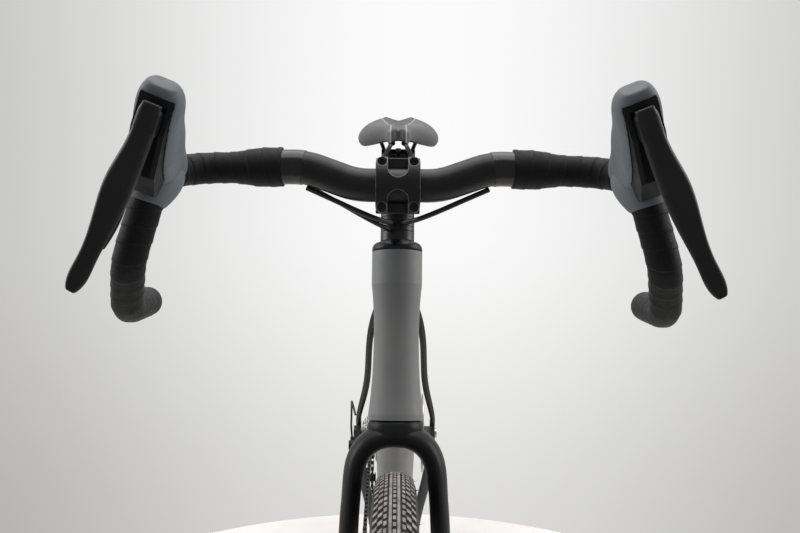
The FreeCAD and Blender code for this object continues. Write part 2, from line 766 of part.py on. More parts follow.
def head_bore():
    """Steerer bore with a bearing seat at each end."""
    foot = -HEAD_TUBE_LENGTH
    over = 5.0
    middle = rod(V(0, 0, foot - over), V(0, 0, over), HEAD_BORE_RADIUS)
    upper = rod(V(0, 0, -HEAD_BEARING_HEIGHT), V(0, 0, over), UPPER_BEARING_RADIUS + RUNNING)
    lower = rod(V(0, 0, foot - over), V(0, 0, foot + HEAD_BEARING_HEIGHT), LOWER_BEARING_RADIUS + RUNNING)
    return STEER.put(fused([middle, upper, lower]))


def frame_tube(start, end, sections):
    """A tube lofted along a line through ovals given as (share of length, half width, half height)."""
    along = unit(end - start)
    high = unit(along.cross(Y_AXIS)) * -1
    wires = []
    for share, half_wide, half_high in sections:
        wires.append(oval(start + (end - start) * share, Y_AXIS, high, half_wide, half_high))
    return loft(wires)


def stay(points, sections):
    """A stay lofted through ovals along a bent line, its width kept level."""
    wires = []
    for index, (point, (half_wide, half_high)) in enumerate(zip(points, sections)):
        before = points[max(index - 1, 0)]
        after = points[min(index + 1, len(points) - 1)]
        along = unit(after - before)
        high = unit(along.cross(unit(V(0, 1, 0))) * -1)
        wires.append(oval(point, unit(high.cross(along)), high, half_wide, half_high))
    return loft(wires)


DOWN_START = STEER.point(0, 0, -DOWN_TUBE_START)
DOWN_ALONG = unit(DOWN_START - BB)
DOWN_NORMAL = V(-DOWN_ALONG.z, 0, DOWN_ALONG.x)
STAY_SIDE = REAR_HUB_WIDTH / 2 + DROPOUT_THICKNESS / 2


def chainstay():
    """The left chainstay: tall and thin past the tyre, round towards the dropout."""
    span = REAR_AXLE - BB
    drop = V(0, 0, -7)
    points = [BB + V(4, 24, 0), BB + span * 0.18 + V(0, 33.5, -2), BB + span * 0.30 + V(0, 37.0, -4),
              BB + span * 0.52 + V(0, 50.5, 0) + drop, BB + span * 0.80 + V(0, STAY_SIDE - 7.5, 0) + drop,
              REAR_AXLE + V(8, STAY_SIDE, 0) + drop * 0.6]
    return stay(points, [(9, 17), (6.5, 17), (6.8, 15.5), (8.5, 13), (8, 11.5), (3.6, 10)])


SEATSTAY_TOP = SEAT_TOP - SEAT_UP * 62


def seatstay():
    """The left seatstay: leaves the seat tube with a bend, then runs straight to the dropout."""
    foot = REAR_AXLE + V(4, STAY_SIDE, 8)
    span = foot - SEATSTAY_TOP
    points = [SEATSTAY_TOP + V(4, 6, 0), SEATSTAY_TOP + V(span.x * 0.09, 21, span.z * 0.07),
              SEATSTAY_TOP + V(span.x * 0.22, 38, span.z * 0.19),
              SEATSTAY_TOP + V(span.x * 0.5, 51.5, span.z * 0.48),
              SEATSTAY_TOP + V(span.x * 0.84, STAY_SIDE - 6, span.z * 0.82), foot]
    return stay(points, [(8, 10), (7.5, 9), (6.5, 8), (6, 7.5), (5.8, 8), (3.6, 9)])


def dropout():
    """The left dropout plate joining both stays round the axle."""
    half = REAR_HUB_WIDTH / 2
    face = hull([(0, 0, DROPOUT_RADIUS), (44, -11, 8), (9, 36, 7.5)])
    return moved(side_plate(face, half, half + DROPOUT_THICKNESS), REAR_AXLE)


def bottle_bosses():
    """Two threaded bosses on the down tube and two on the seat tube, with their holes."""
    bosses = []
    holes = []
    for start, along, normal, base in ((DOWN_BOSS_START, DOWN_ALONG, DOWN_NORMAL, DOWN_TUBE_HALF_HEIGHT),
                                       (SEAT_BOSS_START, SEAT_UP, SEAT_FORWARD, SEAT_TUBE_RADIUS)):
        for distance in (start, start + BOTTLE_BOSS_SPACING):
            centre = BB + along * distance
            top = base + 2.0
            bosses.append(rod(centre + normal * (base - 5), centre + normal * top, BOTTLE_BOSS_RADIUS))
            holes.append(rod(centre + normal * (top - 9), centre + normal * (top + 2), BOTTLE_HOLE_RADIUS))
    return bosses, holes


MOUNT_RISE = 7.0
CALIPER_FORWARD = 72.0
CALIPER_PAD_LENGTH = 62.0


def rear_mount():
    """A flat brake mount on top of the left chainstay."""
    base = REAR_AXLE + V(CALIPER_FORWARD, STAY_SIDE - 9, -12)
    half = CALIPER_PAD_LENGTH / 2
    wire = soft_box(base, X_AXIS, Y_AXIS, half, 6, 5)
    return Part.Face(wire).extrude(V(0, 0, 12 + MOUNT_RISE))


REAR_MOUNT_TOP = REAR_AXLE.z + MOUNT_RISE


def make_frame():
    """The whole frame as one welded piece, then its bores."""
    top_start = STEER.point(0, 0, -TOP_TUBE_START)
    top_end = SEAT_TOP - SEAT_UP * TOP_TUBE_END
    top = frame_tube(top_start, top_end, ((0, 19, 22), (0.12, 19, 20), (0.5, 18, 17), (1, 14.5, 14)))
    wide = DOWN_TUBE_HALF_WIDTH
    high = DOWN_TUBE_HALF_HEIGHT
    down = frame_tube(DOWN_START, BB, ((0, wide - 2, high + 3), (0.15, wide, high + 1), (0.5, wide, high),
                                       (0.8, wide + 3, high - 2), (1, wide + 8, high - 6)))
    seat = rod(BB, SEAT_TOP, SEAT_TUBE_RADIUS)
    shell = across(BB, -BB_SHELL_WIDTH / 2, BB_SHELL_WIDTH / 2, BB_SHELL_RADIUS)
    left = [chainstay(), seatstay(), dropout()]
    right = [mirrored(piece) for piece in left]
    bosses, holes = bottle_bosses()
    body = fused([head_tube(), top, down, seat, shell, rear_mount()] + left + right + bosses)
    axle_bore = across(REAR_AXLE, -REAR_HUB_WIDTH, REAR_HUB_WIDTH, AXLE_RADIUS + RUNNING)
    wheel_room = across(REAR_AXLE, -REAR_HUB_WIDTH / 2, REAR_HUB_WIDTH / 2, END_CAP_RADIUS + 6)
    post_bore = rod(SEAT_TOP - SEAT_UP * POST_BORE_DEPTH, SEAT_TOP + SEAT_UP * 30, POST_RADIUS + RUNNING)
    bb_bore = across(BB, -BB_SHELL_WIDTH, BB_SHELL_WIDTH, BB_CUP_RADIUS - 3)
    rotor_room = across(REAR_AXLE, REAR_ROTOR_SIDE - 3, REAR_ROTOR_SIDE + 3, ROTOR_RADIUS + 3)
    cup_room = [across(BB, sign * BB_SHELL_WIDTH / 2, sign * BB_SHELL_WIDTH, BB_CUP_RADIUS + PLAY)
                for sign in (1, -1)]
    steer_room = STEER.put(rod(V(0, 0, -HEAD_TUBE_LENGTH - 60), V(0, 0, -HEAD_TUBE_LENGTH), 60))
    rooms = [head_bore(), axle_bore, wheel_room, post_bore, bb_bore, rotor_room, steer_room]
    body = body.cut(rooms + cup_room + holes)
    node("frame", *body.Solids)


def make_hanger():
    """A replaceable hanger screwed to the outside of the right dropout."""
    outer = -(REAR_HUB_WIDTH / 2 + DROPOUT_THICKNESS)
    face = hull([(0, 0, DROPOUT_RADIUS - 1), (-HANGER_BACK, -HANGER_BELOW, 9.5), (4, -14, 10)])
    plate = moved(side_plate(face, outer - FIT, outer - FIT - HANGER_THICKNESS), REAR_AXLE)
    bore = across(REAR_AXLE, outer - 20, outer + 5, AXLE_RADIUS + 6)
    bolt = across(REAR_AXLE + V(-HANGER_BACK, 0, -HANGER_BELOW), outer - 20, outer + 5, 5 + FIT)
    node("derailleur_hanger", plate.cut([bore, bolt]))


def make_headset():
    """Upper and lower bearings between the head tube and the steerer."""
    foot = -HEAD_TUBE_LENGTH
    upper = sleeve(V(0, 0, -HEAD_BEARING_HEIGHT), ORIGIN, UPPER_BEARING_RADIUS, STEERER_RADIUS + RUNNING)
    lower = sleeve(V(0, 0, foot), V(0, 0, foot + HEAD_BEARING_HEIGHT),
                   LOWER_BEARING_RADIUS, STEERER_FOOT_RADIUS + RUNNING)
    node("headset_bearings", STEER.put(upper), STEER.put(lower))


def make_bottom_bracket():
    """Two screwed cups, each with its bearing ring, round the spindle."""
    half = BB_SHELL_WIDTH / 2
    inner = BB_CUP_RADIUS - 3
    cup = turned(outline((SPINDLE_RADIUS + 4, half - 12), (inner, half - 12), (inner, half),
                         (BB_CUP_RADIUS, half), (BB_CUP_RADIUS, half + BB_CUP_WIDTH),
                         (SPINDLE_RADIUS + 4, half + BB_CUP_WIDTH)))
    ring = sleeve(V(0, half + 1, 0), V(0, half + BB_CUP_WIDTH, 0),
                  SPINDLE_RADIUS + 4, SPINDLE_RADIUS + RUNNING)
    pieces = []
    for piece in (cup, ring):
        pieces += [moved(piece, BB), moved(mirrored(piece), BB)]
    node("bottom_bracket", *pieces)


def make_seat_collar():
    """A split collar over the top of the seat tube, with its bolt behind."""
    bottom = SEAT_TOP - SEAT_UP * (COLLAR_HEIGHT - 3)
    top = SEAT_TOP + SEAT_UP * 3
    outer = SEAT_TUBE_RADIUS + COLLAR_WALL
    ring = rod(bottom, top, outer)
    middle = SEAT_TOP - SEAT_UP * (COLLAR_HEIGHT / 2 - 3)
    back = middle - SEAT_FORWARD * (outer + 3)
    ear = across(back, -10, 10, 6)
    neck = across(middle - SEAT_FORWARD * outer, -8, 8, 6)
    body = fused([ring, ear, neck])
    slit = Part.makeBox(16, 2, 60, V(-8, -1, -30))
    slit = Place(middle - SEAT_FORWARD * (outer + 3), SEAT_FORWARD, Y_AXIS, SEAT_UP).put(slit)
    body = body.cut([rod(bottom, SEAT_TOP, SEAT_TUBE_RADIUS + RUNNING),
                     rod(SEAT_TOP, top + SEAT_UP * 5, POST_RADIUS + PLAY), slit,
                     across(back, -20, 20, BOLT_RADIUS + FIT)])
    bolt = across(back, -10, 10, BOLT_RADIUS).fuse(across(back, -10 - FIT, -14, BOLT_HEAD_RADIUS))
    node("seat_collar", *body.Solids, bolt)


# Seatpost and saddle

SADDLE = Place(POST_TOP + V(SADDLE_FORWARD, 0, SADDLE_RISE), X_AXIS, Y_AXIS, Z_AXIS)
RAIL_DROP = SADDLE_RISE


def saddle_half_width(share):
    """Half the saddle's width, from 0 at the tail to 1 at the nose."""
    nose = SADDLE_NOSE_WIDTH / 2
    wide = SADDLE_WIDTH / 2
    swell = 1 / (1 + math.exp((share - 0.42) * 15))
    tail = math.sqrt(max(0.0, 1 - max(0.0, 0.2 - share) ** 2 / 0.2 ** 2 * 0.55))
    tip = math.sqrt(max(0.04, 1 - max(0.0, share - 0.93) ** 2 / 0.07 ** 2 * 0.9))
    return (nose + (wide - nose) * swell) * tail * tip


def saddle_crown(share):
    """The height of the saddle's ridge: a kick at the tail and a dip to the seat."""
    return 9 * max(0.0, 0.35 - share) ** 1.5 / 0.2 - 3 * share + 1.2


def saddle_fall(half):
    """How far the pad's side edge lies below its crown."""
    return min(10 + 0.34 * max(0.0, half - SADDLE_NOSE_WIDTH / 2), half * 0.6)


def saddle_under(share):
    """The pad's hollow underside: half its width, its edge height and its middle height."""
    half = saddle_half_width(share)
    top = saddle_crown(share)
    tuck = half * 0.9
    edge = top - saddle_fall(half) - PAD_SIDE
    return tuck, edge, min(top - PAD_SIDE - 2, edge + tuck * 0.5)


def saddle_section(share):
    """One cross-section: a crown with a channel, drawn-in sides and a hollow underside."""
    half = saddle_half_width(share)
    top = saddle_crown(share)
    fall = saddle_fall(half)
    depth = PAD_SIDE
    along = (share - 0.5) * SADDLE_LENGTH
    tuck, side_low, middle = saddle_under(share)
    channel = min(7.0, half * 0.35)
    dip = 3.0 if 0.1 < share < 0.85 else 1.0
    crown_y = half * 0.55
    crown_z = top - fall * 0.16

    def at(y, z):
        return SADDLE.point(along, y, z)

    def arc(a, b, c):
        return Part.Arc(at(*a), at(*b), at(*c)).toShape()

    edges = [arc((-channel, top - 0.6), (0, top - dip), (channel, top - 0.6)),
             arc((channel, top - 0.6), (crown_y, crown_z), (half, top - fall)),
             arc((half, top - fall), (half * 0.985, side_low + depth * 0.45), (tuck, side_low)),
             arc((tuck, side_low), (0, middle), (-tuck, side_low)),
             arc((-tuck, side_low), (-half * 0.985, side_low + depth * 0.45), (-half, top - fall)),
             arc((-half, top - fall), (-crown_y, crown_z), (-channel, top - 0.6))]
    return Part.Wire(edges)


def make_saddle():
    """Pad, shell below it, two rails, and the clamp on the post."""
    shares = (0.0, 0.06, 0.16, 0.3, 0.42, 0.54, 0.68, 0.84, 0.95, 1.0)
    node("saddle_pad", loft([saddle_section(share) for share in shares]))
    shell_wires = []
    for share in shares[1:-1]:
        tuck, edge, middle = saddle_under(share)
        bend = (tuck ** 2 + (middle - edge) ** 2) / (2 * (middle - edge))
        half = tuck * 0.92
        along = (share - 0.5) * SADDLE_LENGTH
        top = middle - PAD_GAP
        drop = bend - math.sqrt(bend ** 2 - half ** 2)
        points = [SADDLE.point(along, y, z) for y, z in
                  ((-half, top - drop), (0, top), (half, top - drop), (half, top - drop - SHELL_THICKNESS),
                   (0, top - SHELL_THICKNESS), (-half, top - drop - SHELL_THICKNESS))]
        edges = [Part.Arc(*points[0:3]).toShape(), Part.LineSegment(points[2], points[3]).toShape(),
                 Part.Arc(*points[3:6]).toShape(), Part.LineSegment(points[5], points[0]).toShape()]
        shell_wires.append(Part.Wire(edges))
    shell = loft(shell_wires)
    rails = []
    for side in (1, -1):
        level = -RAIL_DROP
        points = [SADDLE.point(0.42 * SADDLE_LENGTH, side * 8, -24.5), SADDLE.point(70, side * 12, -29),
                  SADDLE.point(38, side * RAIL_SPREAD, level), SADDLE.point(-55, side * RAIL_SPREAD, level),
                  SADDLE.point(-100, side * 30, -34.5), SADDLE.point(-116, side * 34, -28)]
        rails.append(pipe(bent_path(points, (40, 30, 30, 16)), RAIL_RADIUS))
    shell = shell.cut(rails)
    node("saddle_shell", *shell.Solids)
    node("saddle_rails", *rails)


CRADLE = Place(POST_TOP, X_AXIS, Y_AXIS, Z_AXIS)


def make_seatpost():
    """A plain post with a cradle head, and a two-bolt clamp that holds the rails."""
    start = SEAT_TOP - SEAT_UP * POST_INSERTED
    post = rod(start, POST_TOP - SEAT_UP * 18, POST_RADIUS)
    bore = rod(start - SEAT_UP, POST_TOP - SEAT_UP * 40, POST_RADIUS - 2.2)
    neck = loft([oval(POST_TOP - SEAT_UP * 26, SEAT_FORWARD, Y_AXIS, POST_RADIUS - 0.01, POST_RADIUS - 0.01),
                 oval(POST_TOP - V(0, 0, 14), X_AXIS, Y_AXIS, 19, 13),
                 oval(POST_TOP - V(0, 0, 9), X_AXIS, Y_AXIS, 21, 13)])
    head = fused([post, neck]).cut(bore)
    rail_rods = []
    for side in (1, -1):
        rail_rods.append(rod(CRADLE.point(-40, side * RAIL_SPREAD, 0),
                             CRADLE.point(40, side * RAIL_SPREAD, 0),
                             RAIL_RADIUS + RUNNING))
    half = RAIL_SPREAD + 6
    lower_face = outline((-19, -8.7), (19, -8.7), (16, -0.6), (-16, -0.6))
    lower = moved(side_plate(lower_face, -half, half), POST_TOP).cut(rail_rods)
    upper_face = outline((-15, 0.6), (15, 0.6), ((0, 9), (-15, 0.6)))
    upper = moved(side_plate(upper_face, -half, half), POST_TOP)
    bolts = []
    for along in (-9.5, 9.5):
        shaft = rod(CRADLE.point(along, 0, -16), CRADLE.point(along, 0, 8), BOLT_RADIUS)
        bolts.append(shaft.fuse(rod(CRADLE.point(along, 0, 6), CRADLE.point(along, 0, 10), BOLT_HEAD_RADIUS)))
    holes = []
    for along in (-9.5, 9.5):
        holes.append(rod(CRADLE.point(along, 0, -17), CRADLE.point(along, 0, 6), BOLT_RADIUS + FIT))
        holes.append(rod(CRADLE.point(along, 0, 6 - FIT), CRADLE.point(along, 0, 20), BOLT_HEAD_RADIUS + FIT))
    upper = upper.cut(rail_rods + holes)
    node("seatpost", head.cut(holes))
    node("saddle_clamp", lower.cut(holes), *upper.Solids, *bolts)


# Fork and steering column

CROWN_TOP = -HEAD_TUBE_LENGTH - CROWN_GAP
LEG_LENGTH = AXLE_DROP - HEAD_TUBE_LENGTH - CROWN_GAP
FORK_DROPOUT_SIDE = FRONT_HUB_WIDTH / 2 + FORK_DROPOUT_THICKNESS / 2


def fork_stations():
    """The right-hand half of the arch: side, distance below the crown, forward, half thick, half deep."""
    arch = CROWN_HEIGHT / 2 + 1.5
    spread = LEG_SPREAD
    foot = FORK_DROPOUT_SIDE
    reach = FORK_OFFSET
    long = LEG_LENGTH
    return [(0, arch, 0, CROWN_HEIGHT / 2, 26), (spread * 0.42, arch + 3, 0, 12.3, 25.5),
            (spread * 0.8, arch + 17, 0, 11.5, 24), (spread * 0.97, arch + 40, 0.5, 10.2, 22.5),
            (spread * 1.03, arch + 72, 2, 9.6, 21), (spread + 4, long * 0.42, reach * 0.14, 9.2, 18.5),
            (spread + 8.5, long * 0.66, reach * 0.42, 8.6, 15.5),
            (foot - 2.5, long * 0.86, reach * 0.76, 7.2, 13),
            (foot, long, reach, FORK_DROPOUT_THICKNESS / 2 - 0.8, 11)]


def fork_section(station, before, after, sign):
    side, below, forward, thick, deep = station
    along = unit(V(after[2] - before[2], sign * (after[0] - before[0]), before[1] - after[1]))
    wide = unit(X_AXIS - along * along.x)
    return oval(V(forward, sign * side, CROWN_TOP - below), wide, unit(along.cross(wide)), deep, thick)


def fork_leg():
    """The left leg and its half of the arch, with the dropout boss."""
    half = fork_stations()
    wires = []
    for index in range(len(half) - 1, 0, -1):
        before = half[min(index + 1, len(half) - 1)]
        wires.append(fork_section(half[index], before, half[index - 1], 1))
    wires.append(oval(V(0, 0, CROWN_TOP - half[0][1]), X_AXIS, Z_AXIS, half[0][4], half[0][3]))
    leg = loft(wires)
    inner = FRONT_HUB_WIDTH / 2
    boss = across(V(FORK_OFFSET, 0, -AXLE_DROP), inner, inner + FORK_DROPOUT_THICKNESS, 13.5)
    return leg.fuse(boss)


def make_fork():
    """Tapered steerer, crown and two legs joined by the arch."""
    leg = fork_leg()
    top = COLUMN + STEM_CLAMP_HEIGHT - 2
    foot = -HEAD_TUBE_LENGTH
    steerer = turned_up(outline((0, top), (STEERER_RADIUS, top), (STEERER_RADIUS, -HEAD_BEARING_HEIGHT - 4),
                                (STEERER_FOOT_RADIUS, foot + HEAD_BEARING_HEIGHT + 20),
                                (STEERER_FOOT_RADIUS, CROWN_TOP - 4), (0, CROWN_TOP - 4)))
    crown_seat = turned_up(outline((0, CROWN_TOP), (CROWN_RADIUS - 1, CROWN_TOP),
                                   (CROWN_RADIUS, CROWN_TOP - 1.5),
                                   ((CROWN_RADIUS + 1, CROWN_TOP - 7), (CROWN_RADIUS - 1, CROWN_TOP - 15)),
                                   (0, CROWN_TOP - 15)))
    shoulder = []
    for share, deep in ((0.08, CROWN_RADIUS), (0.45, CROWN_RADIUS - 0.6), (1, CROWN_RADIUS - 2)):
        wide = CROWN_RADIUS + (SHOULDER_HALF_WIDTH - CROWN_RADIUS) * share
        shoulder.append(oval(V(0, 0, CROWN_TOP - SHOULDER_DROP * share), X_AXIS, Y_AXIS, deep, wide))
    axle = V(FORK_OFFSET, 0, -AXLE_DROP)
    inner = FRONT_HUB_WIDTH / 2
    pieces = [leg, mirrored(leg), steerer, crown_seat, loft(shoulder), front_mount()]
    body = fused(pieces)
    core = rod(V(0, 0, CROWN_TOP + 6), V(0, 0, top + 5), STEERER_RADIUS - 3)
    bore = across(axle, -inner * 2, inner * 2, AXLE_RADIUS + RUNNING)
    room = across(axle, -inner, inner, END_CAP_RADIUS + 6)
    rotor_room = across(axle, FRONT_ROTOR_SIDE - 3, FRONT_ROTOR_SIDE + 3, ROTOR_RADIUS + 3)
    body = body.cut([core, bore, room, rotor_room])
    node("fork", *[STEER.put(solid) for solid in body.Solids])


CALIPER_UP = 58.0
CALIPER_LENGTH = 62.0
CALIPER_DEPTH = 24.0
CALIPER_TILT = radians(13.9)
FRONT_CALIPER = Place(V(FORK_OFFSET - 30, FORK_DROPOUT_SIDE - 1.5, CALIPER_UP - AXLE_DROP),
                      V(math.cos(CALIPER_TILT), 0, math.sin(CALIPER_TILT)), Y_AXIS,
                      V(-math.sin(CALIPER_TILT), 0, math.cos(CALIPER_TILT)))


def front_mount():
    """A flat brake mount behind the left fork leg, in the steering frame."""
    face = Part.Face(soft_box(ORIGIN, Y_AXIS, Z_AXIS, 6.0, CALIPER_LENGTH / 2, 5))
    return FRONT_CALIPER.put(face.extrude(V(14, 0, 0)))


def caliper(pad_x, pad_z, rotor_side, body_wire, depth, rotor_axle):
    """A two-piston caliper: a rounded body slotted round the rotor, with two pads in it."""
    body = Part.Face(body_wire).extrude(depth)
    slot = across(rotor_axle, rotor_side - 2.2, rotor_side + 2.2, ROTOR_RADIUS + 2.5)
    pocket = across(V(pad_x, 0, pad_z), rotor_side - 6.2, rotor_side + 6.2, 11.5)
    pads = []
    for sign in (1, -1):
        start = rotor_side + sign * (ROTOR_THICKNESS / 2 + PLAY)
        pad = across(V(pad_x, 0, pad_z), start, rotor_side + sign * 6, 11.2)
        pads.append(pad)
    return body.cut([slot, pocket]), pads


def make_calipers():
    """Flat-mount calipers behind the left fork leg and on the left chainstay."""
    axle = V(FORK_OFFSET, 0, -AXLE_DROP)
    inner = FRONT_ROTOR_SIDE - 12
    outer = FORK_DROPOUT_SIDE + 5
    across_way = FRONT_CALIPER.axes[1]
    middle = FRONT_CALIPER.point(-FIT, (inner + outer) / 2 - FRONT_CALIPER.origin.y, 0)
    wire = soft_box(middle, across_way, FRONT_CALIPER.axes[2], (outer - inner) / 2, CALIPER_LENGTH / 2, 9)
    pad = FRONT_CALIPER.point(-CALIPER_DEPTH / 2, 0, 0)
    depth = FRONT_CALIPER.axes[0] * -CALIPER_DEPTH
    body, pads = caliper(pad.x, pad.z, FRONT_ROTOR_SIDE, wire, depth, axle)
    node("front_caliper", *[STEER.put(solid) for solid in body.Solids + pads])
    base = REAR_MOUNT_TOP + FIT
    inner = REAR_ROTOR_SIDE - 13
    outer = STAY_SIDE - 1
    centre = V(REAR_AXLE.x + CALIPER_FORWARD, (inner + outer) / 2, base)
    wire = soft_box(centre, X_AXIS, Y_AXIS, CALIPER_PAD_LENGTH / 2, (outer - inner) / 2, 9)
    pad = REAR_AXLE + V(CALIPER_FORWARD - 6, 0, MOUNT_RISE + CALIPER_DEPTH / 2)
    body, pads = caliper(pad.x, pad.z, REAR_ROTOR_SIDE, wire, V(0, 0, CALIPER_DEPTH), REAR_AXLE)
    node("rear_caliper", *body.Solids, *pads)


def make_column():
    """Headset cover, spacers and top cap on the steerer."""
    inner = STEERER_RADIUS + FIT
    base = SEAM
    cover = turned_up(outline((inner, base), (HEAD_TOP_RADIUS, base), (HEAD_TOP_RADIUS, base + 2),
                              ((SPACER_RADIUS + 3.4, base + 6.5), (SPACER_RADIUS + 0.6, COVER_HEIGHT)),
                              (inner, COVER_HEIGHT)))
    node("headset_cover", STEER.put(cover))
    rings = []
    level = COVER_HEIGHT
    for height in SPACER_HEIGHTS:
        bevel = 0.5
        ring = turned_up(outline((inner, level), (SPACER_RADIUS - bevel, level),
                                 (SPACER_RADIUS, level + bevel),
                                 (SPACER_RADIUS, level + height - bevel),
                                 (SPACER_RADIUS - bevel, level + height), (inner, level + height)))
        rings.append(STEER.put(ring))
        level += height
    node("headset_spacers", *rings)
    top = COLUMN + STEM_CLAMP_HEIGHT
    cap = turned_up(outline((BOLT_RADIUS + FIT, top), (STEM_CLAMP_RADIUS - 1, top),
                            (STEM_CLAMP_RADIUS - 1, top + 1.5),
                            ((STEM_CLAMP_RADIUS - 6, top + 3.4), (6, top + TOP_CAP_HEIGHT)),
                            (BOLT_RADIUS + FIT, top + TOP_CAP_HEIGHT)))
    bolt = rod(V(0, 0, top - 28), V(0, 0, top + TOP_CAP_HEIGHT + FIT), BOLT_RADIUS)
    head = rod(V(0, 0, top + TOP_CAP_HEIGHT + FIT), V(0, 0, top + TOP_CAP_HEIGHT + 3), BOLT_HEAD_RADIUS)
    plug = sleeve(V(0, 0, top - 34), V(0, 0, top - 12), STEERER_RADIUS - 3 - RUNNING, BOLT_RADIUS + RUNNING)
    node("steerer_cap", STEER.put(cap), STEER.put(bolt.fuse(head)), STEER.put(plug))


def bar_bolt_places():
    places = []
    for wide in (BOLT_SPREAD_WIDE / 2, -BOLT_SPREAD_WIDE / 2):
        for high in (BOLT_SPREAD_HIGH / 2, -BOLT_SPREAD_HIGH / 2):
            places.append((wide, high))
    return places


def stem_plate(face, half):
    """A piece drawn in the stem's side view, spread across Y."""
    return STEM.put(side_plate(face, -half, half))


def make_stem():
    """Stem body with steerer and bar clamps, a notched faceplate and its bolts."""
    half = FACEPLATE_WIDTH / 2
    high = FACEPLATE_HEIGHT / 2
    split = SEAM
    clamp = STEER.put(rod(V(0, 0, COLUMN), V(0, 0, COLUMN + STEM_CLAMP_HEIGHT), STEM_CLAMP_RADIUS))
    wires = []
    for along, wide, tall, corner in ((-STEM_LENGTH + 4, 15, 17.5, 9), (-STEM_LENGTH * 0.5, 16, 16.5, 9),
                                      (-15, 19, 19, 8)):
        wires.append(soft_box(STEM.point(along, 0, 0), Y_AXIS, STEM_UP, wide, tall, corner))
    body = loft(wires)
    block = stem_plate(outline((-split, high), (-8, high), ((-19, 18), (-24, 8)), (-24, -8),
                               ((-19, -18), (-8, -high)), (-split, -high)), half)
    bar_bore = across(BAR, -60, 60, BAR_CLAMP_RADIUS + RUNNING)
    holes = []
    for wide, tall in bar_bolt_places():
        holes.append(rod(STEM.point(-17, wide, tall), STEM.point(1, wide, tall), BOLT_RADIUS + RUNNING))
    steerer_bore = STEER.put(rod(V(0, 0, COLUMN - 5), V(0, 0, COLUMN + 60), STEERER_RADIUS + RUNNING))
    back = -STEM_CLAMP_RADIUS - 2
    ears = STEER.put(fused([across(V(back, 0, COLUMN + level), -12, 12, 6.5) for level in (10, 30)]
                           + [across(V(back + 5, 0, COLUMN + level), -10, 10, 7) for level in (10, 30)]))
    slit = STEER.put(Part.makeBox(40, 1.6, 80, V(-50, -0.8, COLUMN - 20)))
    pinch = [STEER.put(across(V(back, 0, COLUMN + level), -20, 20, BOLT_RADIUS + RUNNING))
             for level in (10, 30)]
    solid = fused([clamp, body, block, ears]).cut([bar_bore, steerer_bore, slit] + holes + pinch)
    node("stem", *solid.Solids)
    inner = BAR_CLAMP_RADIUS + RUNNING
    nose = BAR_CLAMP_RADIUS + FACEPLATE_THICKNESS
    rim_thick = 7.0
    plate = stem_plate(outline((split, high), (rim_thick, high), ((nose, 0), (rim_thick, -high)),
                               (split, -high)), half)
    notch_half = FACEPLATE_WIDTH / 2 - 11.5
    cuts = [bar_bore]
    for sign in (1, -1):
        round_end = sign * (FACEPLATE_BAND / 2 + notch_half)
        cuts.append(rod(STEM.point(-1, 0, round_end), STEM.point(40, 0, round_end), notch_half))
        box = Part.makeBox(41, 2 * notch_half, 40, V(-1, -notch_half, 0 if sign > 0 else -40))
        cuts.append(STEM.put(moved(box, V(0, 0, round_end))))
    for wide, tall in bar_bolt_places():
        cuts.append(rod(STEM.point(-1, wide, tall), STEM.point(20, wide, tall), BOLT_RADIUS + RUNNING))
        cuts.append(rod(STEM.point(rim_thick - 1, wide, tall), STEM.point(30, wide, tall),
                        BOLT_HEAD_RADIUS + FIT))
    rounded = Part.Face(soft_box(STEM.point(-1, 0, 0), Y_AXIS, STEM_UP, half, high, FACEPLATE_CORNER))
    plate = plate.cut(cuts).common(rounded.extrude(STEM.axes[0] * (nose + 2)))
    node("stem_faceplate", *plate.Solids)
    bolts = []
    socket_depth = 2.4
    for wide, tall in bar_bolt_places():
        seat = rim_thick - 1 + FIT
        shaft = rod(STEM.point(-16, wide, tall), STEM.point(seat, wide, tall), BOLT_RADIUS)
        head = rod(STEM.point(seat, wide, tall), STEM.point(seat + 4.5, wide, tall), BOLT_HEAD_RADIUS)
        socket = rod(STEM.point(seat + 4.5 - socket_depth, wide, tall), STEM.point(seat + 6, wide, tall), 2.2)
        bolts.append(shaft.fuse(head).cut(socket))
    for level, sign in ((10, 1), (30, -1)):
        centre = V(back, 0, COLUMN + level)
        shaft = across(centre, -11 * sign, 12 * sign, BOLT_RADIUS)
        head = across(centre, (12 + FIT) * sign, 16 * sign, BOLT_HEAD_RADIUS)
        neck = across(centre, 12 * sign, (12 + FIT) * sign, BOLT_RADIUS)
        bolts.append(STEER.put(shaft.fuse(neck).fuse(head)))
    node("stem_bolts", *bolts)


# Handlebar, tape, hoods and levers

def drop_points():
    """Corners of the left drop, from the hood bend to the bar's end, in the flared plane."""
    return [DROP.point(x, 0, z) for x, z in
            ((BAR_REACH - 6, -4), (BAR_REACH + 2, -BAR_DROP * 0.58), (BAR_REACH * 0.5, -BAR_DROP),
             (-BAR_REACH * 0.42, -BAR_DROP - 12))]


BAR_TOP_BENDS = (70.0, 70.0)
BAR_CORNER_BEND = 44.0
BAR_HOOK_BENDS = (30.0, 42.0, 46.0)


def bar_path():
    """The left half of the bar: clamp, rise, top, corner, hook and drop."""
    points = [BAR, BAR + V(0, 40, 0), BAR + V(-BAR_SWEEP * 0.55, 88, BAR_RISE), BAR_CORNER] + drop_points()
    return bent_path(points, BAR_TOP_BENDS + (BAR_CORNER_BEND,) + BAR_HOOK_BENDS)


def bar_radius(distance):
    """Thick over the clamp and tops, tapering to the grips round the corner."""
    taper = min(max((distance - BAR_TAPER_START) / BAR_TAPER_LENGTH, 0.0), 1.0)
    smooth = taper * taper * (3 - 2 * taper)
    return BAR_CLAMP_RADIUS + (BAR_GRIP_RADIUS - BAR_CLAMP_RADIUS) * smooth


